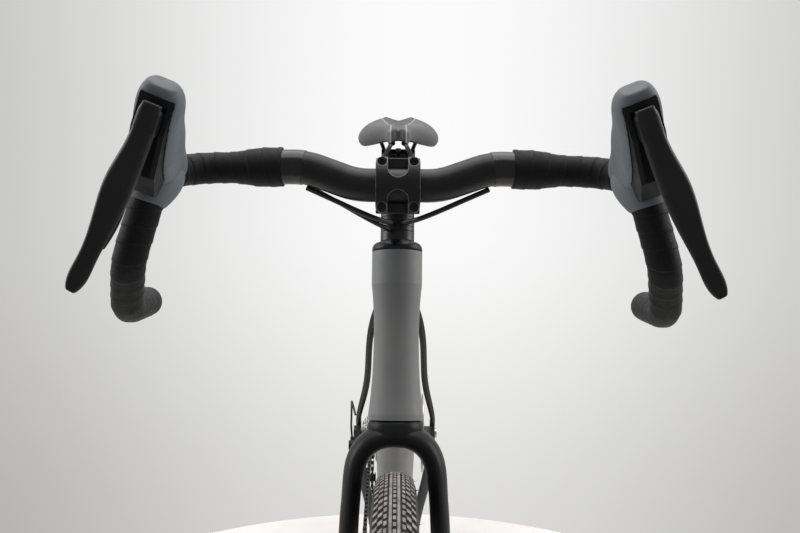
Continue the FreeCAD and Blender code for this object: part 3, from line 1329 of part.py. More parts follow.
def bar_half(path):
    """A pipe for the thick top, a loft for the taper and a pipe for the grip."""
    cut_a = BAR_TAPER_START
    cut_b = BAR_TAPER_START + BAR_TAPER_LENGTH
    thick = pipe(sub_path(path, 0, cut_a), BAR_CLAMP_RADIUS)
    wires = []
    for index in range(5):
        distance = cut_a + (cut_b - cut_a) * index / 4
        point, along = path_at(path, distance)
        wires.append(Part.Wire(Part.Circle(point, along, bar_radius(distance)).toShape()))
    neck = loft(wires)
    thin = pipe(sub_path(path, cut_b, path.Length), BAR_GRIP_RADIUS)
    return fused([thick, neck, thin])


def sub_path(path, start, end):
    """The stretch of a path between two distances."""
    edges = []
    travelled = 0.0
    here = path.OrderedVertexes[0].Point
    for edge in path.OrderedEdges:
        length = edge.Length
        forwards = edge.valueAt(edge.FirstParameter).distanceToPoint(here) < 0.001
        first = max(start - travelled, 0.0)
        last = min(end - travelled, length)
        if last - first > 0.01:
            if not forwards:
                first, last = length - last, length - first
            low = edge.getParameterByLength(first)
            high = edge.getParameterByLength(last)
            edges.append(edge.Curve.toShape(low, high))
        here = edge.valueAt(edge.LastParameter if forwards else edge.FirstParameter)
        travelled += length
    return Part.Wire(Part.sortEdges(edges)[0])


def wound_tape(path, start, end, bar):
    """A wound strip: each turn is a ruled step from thick at its edge to thin under the next."""
    turns = max(2, int(round((end - start) / TAPE_PITCH)))
    thin = TAPE_THICKNESS - TAPE_STEP
    rings = []
    for index in range(turns):
        for share, extra in ((0.0, 0.0), (0.96, TAPE_STEP)):
            distance = start + (end - start) * (index + share) / turns
            rings.append(ring_at(path, distance, bar_radius(distance) + thin + extra))
    rings.append(ring_at(path, end, bar_radius(end) + thin))
    return largest(loft(rings, True).cut(bar))


def ring_at(path, distance, radius):
    point, along = path_at(path, distance)
    return Part.Wire(Part.Circle(point, along, radius).toShape())


def make_bar():
    """Handlebar, four wound lengths of tape with finishing bands, and two end plugs."""
    path = bar_path()
    left = bar_half(path)
    clamp = across(BAR, -1, 1, BAR_CLAMP_RADIUS)
    bar = fused([left, mirrored(left), clamp])
    node("handlebar", *bar.removeSplitter().Solids)
    top = wound_tape(path, TAPE_START, HOOD_TOP_LIMIT, bar)
    grip = wound_tape(path, HOOD_LOW_LIMIT, path.Length - 1, bar)
    band = pipe(sub_path(path, TAPE_START - BAND_LENGTH, TAPE_START - FIT), BAR_CLAMP_RADIUS + 0.7)
    under = sub_path(path, TAPE_START - BAND_LENGTH - 1, TAPE_START + 1)
    band = band.cut(pipe(under, BAR_CLAMP_RADIUS + RUNNING))
    node("bar_tape", top, mirrored(top), grip, mirrored(grip), largest(band), mirrored(largest(band)))
    end, along = path_at(path, path.Length)
    plug = rod(end + along * FIT, end + along * PLUG_LENGTH, BAR_GRIP_RADIUS + 1.6)
    edges = [edge for edge in plug.Edges if edge.Curve.TypeId == "Part::GeomCircle"]
    far = max(edges, key=lambda edge: edge.CenterOfMass.distanceToPoint(end))
    plug = plug.makeFillet(2.5, [far])
    node("bar_end_plugs", plug, mirrored(plug))
    return path


def largest(shape):
    """The biggest solid of a cut shape."""
    return max(shape.Solids, key=lambda solid: solid.Volume)


def hood_section(x, z, slope, half_wide, half_high, corner, inset=0.0):
    """A section of the hood across its own axis."""
    tilt = radians(slope)
    high = HOOD.direction(-math.sin(tilt), 0, math.cos(tilt))
    return soft_box(HOOD.point(x, inset, z), HOOD.axes[1], high, half_wide, half_high, corner)


def bracket_shape(grow):
    """The lever bracket's side outline as a block, larger by the given clearance."""
    face = hull([(108, -2, 10 + grow), (139, 22, 8 + grow), (153, 52, 8 + grow), (153, 66, 6 + grow),
                 (136, 68, 7 + grow), (108, 40, 12 + grow)])
    half = BRACKET_HALF_WIDTH + grow
    return HOOD.put(side_plate(face, -half, half))


def lever_stations():
    """Brake lever from its head to its tip: x, side, z, half width, half thickness."""
    px, pz = LEVER_PIVOT
    return [(px + 15.0, 0.0, pz + 15, 7.5, 4.5), (px + 15.5, 0.0, pz, LEVER_HEAD_HALF_WIDTH, 5.5),
            (px + 12, 1.5, pz - 22, 9.6, 6), (px + 5, 6.5, pz - 54, 12, 5.4),
            (px - 0.5, 9.5, pz - 90, 10, 4.4),
            (px - 0.5, 12.5, pz - 124, 7.8, 3.8), (px + 2, 15, pz - 148, 6.4, 3.2),
            (px + 3, 15.6, pz - 153, 3.8, 1.9)]


def lever_shape():
    """A curved blade with a pivot lug behind its head."""
    stations_list = lever_stations()
    wires = []
    for index, (x, side, z, half_wide, half_thick) in enumerate(stations_list):
        before = stations_list[max(index - 1, 0)]
        after = stations_list[min(index + 1, len(stations_list) - 1)]
        along = unit(HOOD.direction(after[0] - before[0], after[1] - before[1], after[2] - before[2]))
        wide = unit(HOOD.axes[1] - along * along.dot(HOOD.axes[1]))
        deep = unit(along.cross(wide))
        wires.append(soft_box(HOOD.point(x, side, z), wide, deep, half_wide, half_thick, half_thick * 0.8))
    blade = loft(wires)
    px, pz = LEVER_PIVOT
    lug_half = BRACKET_SLOT_HALF_WIDTH - 2 * PLAY
    lug_face = hull([(px, pz, 6), (px + 14, pz - 5, 5), (px + 14, pz + 6, 5)])
    lug = HOOD.put(side_plate(lug_face, -lug_half, lug_half))
    bore = HOOD.put(across(V(px, 0, pz), -20, 20, LEVER_PIN_RADIUS + RUNNING))
    return blade.fuse(lug).cut(bore)


PADDLE_PIVOT = (5.0, -22.0)
PADDLE_PIN_RADIUS = 2.0


def paddle_shape():
    """A shift paddle behind the right lever, and the pin on the lever that it swings about."""
    side, level = PADDLE_PIVOT
    px = LEVER_PIVOT[0]
    wires = []
    for x, y, z, half_wide in ((px - 7.4, side - 1, level + 7, 5), (px - 7.4, side, level, 6.5),
                               (px - 9, side + 3, level - 20, 8), (px - 10.5, side + 5, level - 40, 5.5)):
        wires.append(soft_box(HOOD.point(x, y, z), HOOD.axes[1], HOOD.axes[0], half_wide, 1.8, 1.4))
    plate = loft(wires)
    bore = rod(HOOD.point(px - 30, side, level), HOOD.point(px + 10, side, level),
               PADDLE_PIN_RADIUS + RUNNING)
    pin = rod(HOOD.point(px - 12, side, level), HOOD.point(px + 4, side, level), PADDLE_PIN_RADIUS)
    head = rod(HOOD.point(px - 12.5, side, level), HOOD.point(px - 9.4 - PLAY, side, level),
               PADDLE_PIN_RADIUS + 1.2)
    return plate.cut(bore), pin.fuse(head)


def make_levers(path):
    """Rubber hood, bracket with pin and brake lever on each side, and the right shift paddle."""
    px, pz = LEVER_PIVOT
    sections = [hood_section(34, 2, 8, 16.5, 16.5, 15), hood_section(60, 10, 22, 17, 22, 15),
                hood_section(88, 20, 34, 17.5, 26, 15), hood_section(116, 41, 46, 18, 24.5, 15),
                hood_section(136, 61, 54, 18.2, 19.5, 15), hood_section(146.5, 76, 57, 16.8, 13, 11),
                hood_section(151.5, 83.5, 58, 11, 7, 6)]
    hood = loft(sections)
    bar_room = pipe(sub_path(path, BAR_HALF_WIDTH - 20, path.Length), BAR_GRIP_RADIUS + FIT)
    wide = BAR_GRIP_RADIUS + TAPE_THICKNESS + PLAY
    tape_room = pipe(sub_path(path, BAR_HALF_WIDTH - 20, HOOD_TOP_LIMIT + 1), wide)
    low_room = pipe(sub_path(path, HOOD_LOW_LIMIT - 1, path.Length), wide)
    slot_face = hull([(px - 8, pz - 50, 6), (px + 34, pz - 60, 8), (px + 40, pz + 24, 8), (px, pz, 8.5)])
    slot = HOOD.put(side_plate(slot_face, -BRACKET_SLOT_HALF_WIDTH, BRACKET_SLOT_HALF_WIDTH))
    front_room = HOOD.put(side_plate(outline((px - 22, pz - 64), (px + 60, pz - 64), (px + 60, pz + 20),
                                             (px + 9, pz + 20), (px + 5, pz - 8)), -20, 20))
    pin_bore = HOOD.put(across(V(px, 0, pz), -30, 30, LEVER_PIN_RADIUS))
    bracket = bracket_shape(0).cut([slot, bar_room, low_room, pin_bore, front_room])
    pin = HOOD.put(across(V(px, 0, pz), -BRACKET_HALF_WIDTH, BRACKET_HALF_WIDTH, LEVER_PIN_RADIUS))
    bracket = largest(bracket)
    hood = hood.cut([bar_room, tape_room, low_room, bracket_shape(FIT), slot, front_room])
    hood = largest(hood)
    lever = lever_shape()
    paddle, pin_right = paddle_shape()
    node("shift_paddle_right", mirrored(paddle))
    for name, flip in (("left", False), ("right", True)):
        pieces = [mirrored(piece) if flip else piece for piece in (hood, bracket, pin, lever)]
        node("hood_" + name, pieces[0])
        node("lever_bracket_" + name, pieces[1], pieces[2])
        if flip:
            node("brake_lever_" + name, mirrored(lever.fuse(pin_right)))
        else:
            node("brake_lever_" + name, lever)


# Drive

def pitch_radius(teeth):
    return CHAIN_PITCH / 2 / math.sin(math.pi / teeth)


def sprocket(teeth, phase):
    """A toothed outline: a roller seat at each pitch point and a tooth between each pair."""
    pitch_r = pitch_radius(teeth)
    tip_r = pitch_r + TOOTH_HEIGHT
    spread = radians(60)
    tip_half = TOOTH_TIP_HALF / tip_r
    points = []
    for index in range(teeth):
        angle = phase + 2 * math.pi * index / teeth
        seat = polar(pitch_r, angle)
        inward = angle + math.pi
        ahead = angle + math.pi / teeth
        points.append((seat + polar(SEAT_RADIUS, inward + spread), seat + polar(SEAT_RADIUS, inward),
                       seat + polar(SEAT_RADIUS, inward - spread), polar(tip_r, ahead - tip_half),
                       polar(tip_r, ahead + tip_half)))
    edges = []
    for index, (first, middle, last, tip_a, tip_b) in enumerate(points):
        following = points[(index + 1) % teeth][0]
        edges.append(Part.Arc(first, middle, last).toShape())
        for start, end in ((last, tip_a), (tip_a, tip_b), (tip_b, following)):
            edges.append(Part.LineSegment(start, end).toShape())
    return Part.Face(Part.Wire(edges))


def angle_of(point, centre):
    return math.atan2(point.z - centre.z, point.x - centre.x)


class Loop:
    """The chain's closed line round four toothed wheels, as straight runs and arcs in the side view."""

    def __init__(self, wheels):
        self.pieces = []
        count = len(wheels)
        tangents = []
        for index in range(count):
            a, ra, sa = wheels[index]
            b, rb, sb = wheels[(index + 1) % count]
            span = V(b.x - a.x, 0, b.z - a.z)
            lift = math.asin((sb * rb - sa * ra) / span.Length)
            heading = math.atan2(span.z, span.x) + lift
            normal = V(math.sin(heading), 0, -math.cos(heading))
            tangents.append((a - normal * (sa * ra), b - normal * (sb * rb)))
        for index in range(count):
            start, end = tangents[index]
            self.pieces.append(("line", start, end, (end - start).Length))
            centre, radius, sense = wheels[(index + 1) % count]
            leave = tangents[(index + 1) % count][0]
            first = angle_of(end, centre)
            turn = first - angle_of(leave, centre)
            if sense < 0:
                turn = -turn
            turn = turn % (2 * math.pi)
            self.pieces.append(("arc", centre, radius, turn * radius, first, sense))
        self.length = sum(piece[3] for piece in self.pieces)

    def at(self, distance):
        distance = distance % self.length
        for piece in self.pieces:
            if distance <= piece[3]:
                if piece[0] == "line":
                    return piece[1] + (piece[2] - piece[1]) * (distance / piece[3])
                angle = piece[4] - piece[5] * distance / piece[2]
                return piece[1] + V(math.cos(angle), 0, math.sin(angle)) * piece[2]
            distance -= piece[3]
        return self.pieces[0][1]

    def step(self, distance):
        """The distance whose point lies one chain pitch further on, measured straight."""
        here = self.at(distance)
        low = distance + CHAIN_PITCH * 0.999
        high = distance + CHAIN_PITCH * 1.2
        for _ in range(36):
            middle = (low + high) / 2
            if self.at(middle).distanceToPoint(here) < CHAIN_PITCH:
                low = middle
            else:
                high = middle
        return (low + high) / 2


COG = COG_TEETH[CHAIN_COG]
CHAIN_SIDE = V(0, -CHAINLINE, 0)
COG_CENTRE = REAR_AXLE + CHAIN_SIDE
RING_CENTRE = BB + CHAIN_SIDE
GUIDE_CENTRE = REAR_AXLE + CHAIN_SIDE + V(GUIDE_FORWARD, 0, -GUIDE_BELOW)


def tension_centre(cage_angle):
    tilt = radians(cage_angle)
    return GUIDE_CENTRE + V(math.cos(tilt), 0, math.sin(tilt)) * PULLEY_SPACING


def chain_loop(cage_angle):
    """Ring, tension pulley and cog turn one way as the chain runs; the guide pulley turns the other."""
    return Loop([(COG_CENTRE, pitch_radius(COG), 1), (RING_CENTRE, pitch_radius(RING_TEETH), 1),
                 (tension_centre(cage_angle), pitch_radius(TENSION_TEETH), 1),
                 (GUIDE_CENTRE, pitch_radius(GUIDE_TEETH), -1)])


def chain_walk(cage_angle, count):
    """The chain's pin places, and how far the last falls short of the first."""
    loop = chain_loop(cage_angle)
    distance = 0.0
    pins = []
    for _ in range(count):
        pins.append(loop.at(distance))
        distance = loop.step(distance)
    return pins, loop.length - distance


def solve_chain():
    """An even number of links, and the cage angle at which they close the loop."""
    _, spare = chain_walk(CAGE_ANGLE_START, 100)
    count = 2 * int(round((100 + spare / CHAIN_PITCH) / 2))
    low = CAGE_ANGLE_START - 28
    high = CAGE_ANGLE_START + 28
    for _ in range(40):
        middle = (low + high) / 2
        _, spare = chain_walk(middle, count)
        if spare < 0:
            high, low = (high, middle) if slack_grows() else (middle, low)
        else:
            high, low = (middle, low) if slack_grows() else (high, middle)
    pins, spare = chain_walk((low + high) / 2, count)
    print("chain links", count, "cage angle", round((low + high) / 2, 3), "closing error", round(spare, 5))
    return (low + high) / 2, pins


def slack_grows():
    """Whether the loop gets longer as the cage swings forwards."""
    return chain_loop(CAGE_ANGLE_START + 5).length > chain_loop(CAGE_ANGLE_START - 5).length


CAGE_ANGLE, CHAIN_PINS = solve_chain()
TENSION_CENTRE = tension_centre(CAGE_ANGLE)


def seat_phase(centre, radius):
    """The angle of a roller that lies on a wheel's pitch circle, so its teeth meet the chain."""
    middle = None
    on_wheel = [pin for pin in CHAIN_PINS if abs(pin.distanceToPoint(centre) - radius) < 0.02]
    middle = on_wheel[len(on_wheel) // 2]
    return angle_of(middle, centre)


def chain_link(outer):
    """One link along X from pin to pin: two plates with rollers, or two plates with pins."""
    inner_face = ROLLER_WIDTH / 2
    plate_face = hull([(0, 0, LINK_PLATE_RADIUS), (CHAIN_PITCH, 0, LINK_PLATE_RADIUS)])
    pieces = []
    if outer:
        near = inner_face + INNER_PLATE + RUNNING
        for sign in (1, -1):
            pieces.append(side_plate(plate_face, sign * near, sign * (near + OUTER_PLATE)))
        for x in (0, CHAIN_PITCH):
            pieces.append(across(V(x, 0, 0), -near - OUTER_PLATE, near + OUTER_PLATE, LINK_PIN_RADIUS))
        return fused(pieces)
    for sign in (1, -1):
        pieces.append(side_plate(plate_face, sign * inner_face, sign * (inner_face + INNER_PLATE)))
    for x in (0, CHAIN_PITCH):
        pieces.append(across(V(x, 0, 0), -inner_face, inner_face, ROLLER_RADIUS))
    bores = [across(V(x, 0, 0), -9, 9, LINK_PIN_RADIUS + RUNNING) for x in (0, CHAIN_PITCH)]
    return fused(pieces).cut(bores)


def make_chain():
    """Every link of the chain; the links round the two pulleys are a node of their own."""
    links = (chain_link(False), chain_link(True))
    count = len(CHAIN_PINS)
    main = []
    caged = []
    for index, pin in enumerate(CHAIN_PINS):
        following = CHAIN_PINS[(index + 1) % count]
        tilt = math.degrees(math.atan2(following.z - pin.z, following.x - pin.x))
        link = moved(spun(links[index % 2], Y_AXIS, -tilt), pin)
        middle = (pin + following) * 0.5
        reach = pitch_radius(TENSION_TEETH) + 4
        near = min(middle.distanceToPoint(GUIDE_CENTRE), middle.distanceToPoint(TENSION_CENTRE))
        both_ways = middle.distanceToPoint(GUIDE_CENTRE) + middle.distanceToPoint(TENSION_CENTRE)
        between = abs(both_ways - PULLEY_SPACING) < 12
        (caged if near < reach or between else main).append(link)
    node("chain", *main)
    node("chain_in_cage", *caged)


def cog_windows(teeth, phase):
    """Round lightening holes in the larger cogs."""
    inner = FREEHUB_RADIUS + 6
    outer = pitch_radius(teeth) - 9
    if outer - inner < 9:
        return []
    radius = min((outer - inner) / 2, 9.0)
    middle = (outer + inner) / 2
    count = int(2 * math.pi * middle / (2 * radius + 5))
    return [(polar(middle, phase + 2 * math.pi * index / count), radius) for index in range(count)]


def make_cassette():
    """Eleven cogs with spacers on a freehub body, and a lockring."""
    pieces = []
    engaged = seat_phase(COG_CENTRE, pitch_radius(COG))
    for index, teeth in enumerate(COG_TEETH):
        side = -CHAINLINE + (index - CHAIN_COG) * COG_SPACING
        face = sprocket(teeth, engaged if index == CHAIN_COG else engaged + 0.1 * index)
        low = side - COG_THICKNESS / 2
        cog = side_plate(face, low, low + COG_THICKNESS)
        cuts = [across(ORIGIN, low - 1, low + COG_THICKNESS + 1, FREEHUB_RADIUS + FIT)]
        for centre, radius in cog_windows(teeth, 0.0):
            cuts.append(across(V(centre.x, 0, centre.y), low - 1, low + COG_THICKNESS + 1, radius))
        pieces.append(moved(cog.cut(cuts), REAR_AXLE))
        if index + 1 < len(COG_TEETH):
            start = low + COG_THICKNESS
            ring = sleeve(V(0, start, 0), V(0, start + COG_SPACING - COG_THICKNESS, 0),
                          FREEHUB_RADIUS + 2.4, FREEHUB_RADIUS + FIT)
            pieces.append(moved(ring, REAR_AXLE))
    first = -CHAINLINE - CHAIN_COG * COG_SPACING - COG_THICKNESS / 2
    last = REAR_HUB_END - FREEHUB_GAP
    step = -(REAR_HUB_WIDTH / 2 - END_CAP_LENGTH - PLAY)
    body = turned(outline((SLEEVE_RADIUS + RUNNING, step), (END_CAP_RADIUS + PLAY, step),
                          (END_CAP_RADIUS + PLAY, first), (FREEHUB_RADIUS, first), (FREEHUB_RADIUS, last),
                          (SLEEVE_RADIUS + RUNNING, last)))
    ring = sleeve(V(0, first - 1.4, 0), V(0, first - FIT, 0), FREEHUB_RADIUS + 1.5, END_CAP_RADIUS + 1.5)
    node("cassette", *pieces, moved(body, REAR_AXLE), moved(ring, REAR_AXLE))


def ring_bolts():
    return [polar(SPIDER_BOLT_CIRCLE, radians(45 + 90 * index)) for index in range(4)]


def crank_end(sign):
    """The middle of a pedal eye: the right arm points forwards and up, the left one back and down."""
    turn = radians(CRANK_ANGLE)
    return BB + V(math.cos(turn), 0, math.sin(turn)) * (-sign * CRANK_LENGTH)


def make_crankset():
    """Right arm with spider and spindle, left arm, toothed ring and its bolts, pedal axles."""
    ring_low = -CHAINLINE - RING_THICKNESS / 2
    ring_high = ring_low + RING_THICKNESS
    teeth = sprocket(RING_TEETH, seat_phase(RING_CENTRE, pitch_radius(RING_TEETH)))
    ring = side_plate(teeth, ring_low, ring_high).cut(across(ORIGIN, ring_low - 1, ring_high + 1, 62))
    tabs = []
    bolts = []
    bolt_holes = []
    spider = []
    spider_low = ring_low - FIT
    spider_high = spider_low - 4
    for place in ring_bolts():
        outer = unit(place) * 62
        tabs.append(side_plate(hull([(place.x, place.y, 8), (outer.x, outer.y, 11)]), ring_low, ring_high))
        centre = V(place.x, 0, place.y)
        bolt_holes.append(across(centre, -30 - CHAINLINE, 20 - CHAINLINE, 4 + FIT))
        shaft = across(centre, ring_high + FIT, spider_high - FIT, 4)
        bolts.append(shaft.fuse(across(centre, ring_high + FIT, ring_high + 1.4, 6))
                     .fuse(across(centre, spider_high - FIT, spider_high - 1.4, 6)))
        root = unit(place) * 14
        leg = hull([(root.x, root.y, 9), (place.x, place.y, 7.5)])
        spider.append(side_plate(leg, spider_low, spider_high))
    ring = fused([ring] + tabs).cut(bolt_holes)
    node("chainring", moved(ring, BB), *[moved(bolt, BB) for bolt in bolts])

    def arm(sign):
        reach = -sign * CRANK_LENGTH
        wires = []
        inner_face = CRANK_HUB_FACE + 7
        half = CRANK_THICKNESS / 2
        for share, high in ((-0.02, 16), (0.3, 14), (0.75, 11.5), (1.0, 11.5)):
            side = inner_face + half + (CRANK_PEDAL_FACE - half * 2 - inner_face) * max(share, 0) ** 0.8
            wires.append(soft_box(V(reach * share, sign * side, 0), Y_AXIS, Z_AXIS, half, high, half * 0.7))
        blade = loft(wires)
        eye = across(V(reach, 0, 0), sign * (CRANK_PEDAL_FACE - CRANK_THICKNESS), sign * CRANK_PEDAL_FACE, 14)
        boss = across(ORIGIN, sign * CRANK_HUB_FACE, sign * (inner_face + CRANK_THICKNESS), CRANK_HUB_RADIUS)
        bore = across(V(reach, 0, 0), 0, sign * 200, PEDAL_AXLE_RADIUS + 2.5)
        return spun(fused([blade, eye, boss]).cut(bore), Y_AXIS, -CRANK_ANGLE)

    inner_face = CRANK_HUB_FACE + 7
    spindle_end = inner_face + CRANK_THICKNESS - 2
    spindle = sleeve(V(0, -CRANK_HUB_FACE - 1, 0), V(0, spindle_end, 0), SPINDLE_RADIUS, SPINDLE_RADIUS - 3)
    right = fused([arm(-1), spindle] + spider).cut(bolt_holes)
    node("crank_arm_right", *[moved(solid, BB) for solid in right.Solids])
    left = arm(1).cut(across(ORIGIN, 0, spindle_end + FIT, SPINDLE_RADIUS + FIT))
    cap = across(ORIGIN, spindle_end + FIT, inner_face + CRANK_THICKNESS + 1.5, 10)
    left = left.cut(across(ORIGIN, spindle_end, 200, 10 + FIT))
    node("crank_arm_left", moved(left, BB), moved(cap, BB))
    axles = []
    for sign in (1, -1):
        centre = crank_end(sign)
        end = CRANK_PEDAL_FACE + PEDAL_GAP + PEDAL_WIDTH - 6
        thread = across(centre, sign * (CRANK_PEDAL_FACE - CRANK_THICKNESS), sign * CRANK_PEDAL_FACE,
                        PEDAL_AXLE_RADIUS + 2.5 - RUNNING)
        shaft = across(centre, sign * CRANK_PEDAL_FACE, sign * end, PEDAL_AXLE_RADIUS)
        flange = across(centre, sign * (CRANK_PEDAL_FACE + FIT), sign * (CRANK_PEDAL_FACE + PEDAL_GAP - 2), 8)
        axles.append(fused([thread, shaft, flange]))
    node("pedal_axles", *axles)


def make_pedals():
    """Open platform pedals: a round-cornered cage, cross bars and a barrel on the axle."""
    near = CRANK_PEDAL_FACE + PEDAL_GAP
    far = near + PEDAL_WIDTH
    half_high = PEDAL_HEIGHT / 2
    for name, sign in (("left", 1), ("right", -1)):
        middle = sign * (near + far) / 2
        frame_wire = soft_box(V(0, middle, -half_high), X_AXIS, Y_AXIS, PEDAL_LENGTH / 2, PEDAL_WIDTH / 2, 16)
        body = Part.Face(frame_wire).extrude(V(0, 0, PEDAL_HEIGHT))
        cuts = []
        for x in (-1, 1):
            for y in (-1, 1):
                centre = V(x * PEDAL_LENGTH * 0.23, middle + y * PEDAL_WIDTH * 0.225, -half_high - 1)
                wire = soft_box(centre, X_AXIS, Y_AXIS, PEDAL_LENGTH * 0.15, PEDAL_WIDTH * 0.165, 8)
                cuts.append(Part.Face(wire).extrude(V(0, 0, PEDAL_HEIGHT + 2)))
        dish = 700.0
        for level in (1, -1):
            middle_of_dish = V(0, 0, level * (dish + half_high - 2.2))
            cuts.append(across(middle_of_dish, sign * (near - 5), sign * (far + 5), dish))
        cuts.append(across(ORIGIN, sign * (near - 5), sign * (far - 4), PEDAL_AXLE_RADIUS + RUNNING))
        body = body.cut(cuts)
        node("pedal_" + name, *[moved(solid, crank_end(sign)) for solid in body.Solids])


# Derailleur

SLOPE = radians(LINK_SLOPE)
LINK_AHEAD = V(math.cos(SLOPE), 0, -math.sin(SLOPE))
LINK_DOWN = V(-math.sin(SLOPE), 0, -math.cos(SLOPE))
SHIFT_WAY = Y_AXIS * math.cos(radians(SLANT)) + LINK_DOWN * math.sin(radians(SLANT))
LINK_AXIS = LINK_AHEAD.cross(SHIFT_WAY)
CAGE_PIVOT = GUIDE_CENTRE + V(4, 0, 5)
KNUCKLE_REACH = 20.0
KNUCKLE_CENTRE = V(CAGE_PIVOT.x, -KNUCKLE_SIDE, CAGE_PIVOT.z) - LINK_AHEAD * KNUCKLE_REACH
BODY_CENTRE = KNUCKLE_CENTRE - LINK_AHEAD * LINK_LENGTH
HANGER_BOLT = REAR_AXLE + V(-HANGER_BACK, 0, -HANGER_BELOW)
HANGER_OUTER = -(REAR_HUB_WIDTH / 2 + DROPOUT_THICKNESS + FIT + HANGER_THICKNESS)


def link_place(centre):
    return Place(centre, LINK_AHEAD, SHIFT_WAY, LINK_AXIS)


def link_plate(centre, face, low, high):
    """A piece drawn across the link pivots, between two places along them."""
    return link_place(centre).put(moved(face, V(0, 0, low)).extrude(V(0, 0, high - low)))


def ears(centre, web):
    """A fork for both links: two ears, a web behind them and two pivot pins."""
    half = LINK_WIDTH / 2 + PLAY
    gap = LINK_SPACING / 2
    face = hull([(0, -gap, LINK_RADIUS + 1), (web, -gap, LINK_RADIUS),
                 (web, gap, LINK_RADIUS), (0, gap, LINK_RADIUS + 1)]
                if web > 0 else
                [(0, gap, LINK_RADIUS + 1), (web, gap, LINK_RADIUS),
                 (web, -gap, LINK_RADIUS), (0, -gap, LINK_RADIUS + 1)])
    pieces = [link_plate(centre, face, half, half + LINK_EAR),
              link_plate(centre, face, -half - LINK_EAR, -half)]
    behind = hull([(web, -gap, LINK_RADIUS), (web, gap, LINK_RADIUS)])
    pieces.append(link_plate(centre, behind, -half, half))
    place = link_place(centre)
    for side in (-gap, gap):
        pieces.append(rod(place.point(0, side, -half - 1), place.point(0, side, half + 1), LINK_PIN))
    return pieces


def derailleur_link(side):
    """One link of the parallelogram between the body and the knuckle."""
    half = LINK_WIDTH / 2
    face = hull([(0, 0, LINK_RADIUS), (LINK_LENGTH, 0, LINK_RADIUS)])
    place = link_place(BODY_CENTRE)
    start = place.point(0, side, 0)
    bar = link_plate(start, face, -half, half)
    bores = []
    for along, play in ((0, RUNNING), (LINK_LENGTH, RUNNING)):
        bores.append(rod(place.point(along, side, -20), place.point(along, side, 20), LINK_PIN + play))
    return bar.cut(bores)


def make_derailleur():
    """Body on the hanger, two links, knuckle, sprung cage and two pulleys."""
    gap = LINK_SPACING / 2
    web = LINK_RADIUS * 2 + 1
    outer = HANGER_OUTER - FIT
    tail = BODY_CENTRE - LINK_AHEAD * 18
    arm_face = hull([(HANGER_BOLT.x, HANGER_BOLT.z, 10), (tail.x, tail.z, 8)])
    arm = side_plate(arm_face, outer - 11, outer - 3)
    boss = across(V(HANGER_BOLT.x, 0, HANGER_BOLT.z), outer - 11, outer, 10)
    block = across(V(tail.x, 0, tail.z), outer - 11, -KNUCKLE_SIDE + 4, 8)
    bolt = across(V(HANGER_BOLT.x, 0, HANGER_BOLT.z), outer - 5, HANGER_OUTER + HANGER_THICKNESS, 5)
    body = fused(ears(BODY_CENTRE, -web) + [arm, boss, block, bolt])
    stop = HOUSING_STOP
    body = body.fuse(rod(stop, stop + HOUSING_EXIT * 12, SHIFT_HOUSING_RADIUS + 1.8))
    node("derailleur_body", body)
    node("derailleur_outer_link", derailleur_link(-gap))
    node("derailleur_inner_link", derailleur_link(gap))
    pivot = V(CAGE_PIVOT.x, 0, CAGE_PIVOT.z)
    cage_outer = -CHAINLINE - CAGE_GAP - CAGE_PLATE
    housing_inner = cage_outer - PLAY
    housing = across(pivot, housing_inner, -KNUCKLE_SIDE - 10, 10)
    knuckle = fused(ears(KNUCKLE_CENTRE, web) + [housing])
    knuckle = knuckle.cut(across(pivot, housing_inner + 1, -KNUCKLE_SIDE - 4, CAGE_PIVOT_RADIUS + RUNNING))
    node("derailleur_knuckle", knuckle)
    guide = V(GUIDE_CENTRE.x, 0, GUIDE_CENTRE.z)
    tension = V(TENSION_CENTRE.x, 0, TENSION_CENTRE.z)
    faces = hull([(guide.x, guide.z, 11), (tension.x, tension.z, 9)])
    pieces = []
    for sign in (1, -1):
        low = -CHAINLINE + sign * CAGE_GAP
        pieces.append(side_plate(faces, low, low + sign * CAGE_PLATE))
    pieces.append(across(pivot, cage_outer + 0.5, -KNUCKLE_SIDE - 3, CAGE_PIVOT_RADIUS))
    pieces.append(across(pivot, cage_outer, cage_outer + CAGE_PLATE, 10))
    for centre in (guide, tension):
        pieces.append(across(centre, -CHAINLINE - CAGE_GAP - 0.5, -CHAINLINE + CAGE_GAP + 0.5, 2.5))
    window = hull([(guide.x * 0.68 + tension.x * 0.32, guide.z * 0.68 + tension.z * 0.32, 4.5),
                   (guide.x * 0.32 + tension.x * 0.68, guide.z * 0.32 + tension.z * 0.68, 4)])
    window = side_plate(window, -CHAINLINE - 20, -CHAINLINE + 20)
    node("derailleur_cage", fused(pieces).cut(window))
    for name, centre, teeth in (("guide_pulley", GUIDE_CENTRE, GUIDE_TEETH),
                                ("tension_pulley", TENSION_CENTRE, TENSION_TEETH)):
        face = sprocket(teeth, seat_phase(centre, pitch_radius(teeth)))
        wheel = side_plate(face, -PULLEY_THICKNESS / 2, PULLEY_THICKNESS / 2)
        core = across(ORIGIN, -CAGE_GAP + PLAY, CAGE_GAP - PLAY, 8)
        wheel = wheel.fuse(core)
        spots = [polar(13, radians(60 * k)) for k in range(6)]
        holes = [across(V(spot.x, 0, spot.y), -5, 5, 3) for spot in spots]
        wheel = wheel.cut(holes + [across(ORIGIN, -20, 20, 2.5 + RUNNING)])
        node(name, moved(wheel, centre))


HOUSING_EXIT = unit(V(-0.35, -0.1, 0.93))
HOUSING_STOP = BODY_CENTRE - LINK_AHEAD * 18 + V(-2, HANGER_OUTER - 7 - BODY_CENTRE.y, 5)


def hose_points(side, places, level, entry):
    """A hose route: places measured from the bar's middle, ending on the front of the spacers."""
    points = [BAR + V(x, side * y, z) for x, y, z in places]
    reach = SPACER_RADIUS + HOSE_RADIUS / 2
    points.append(STEER.point(math.sqrt(reach ** 2 - entry ** 2), side * entry, level))
    return points


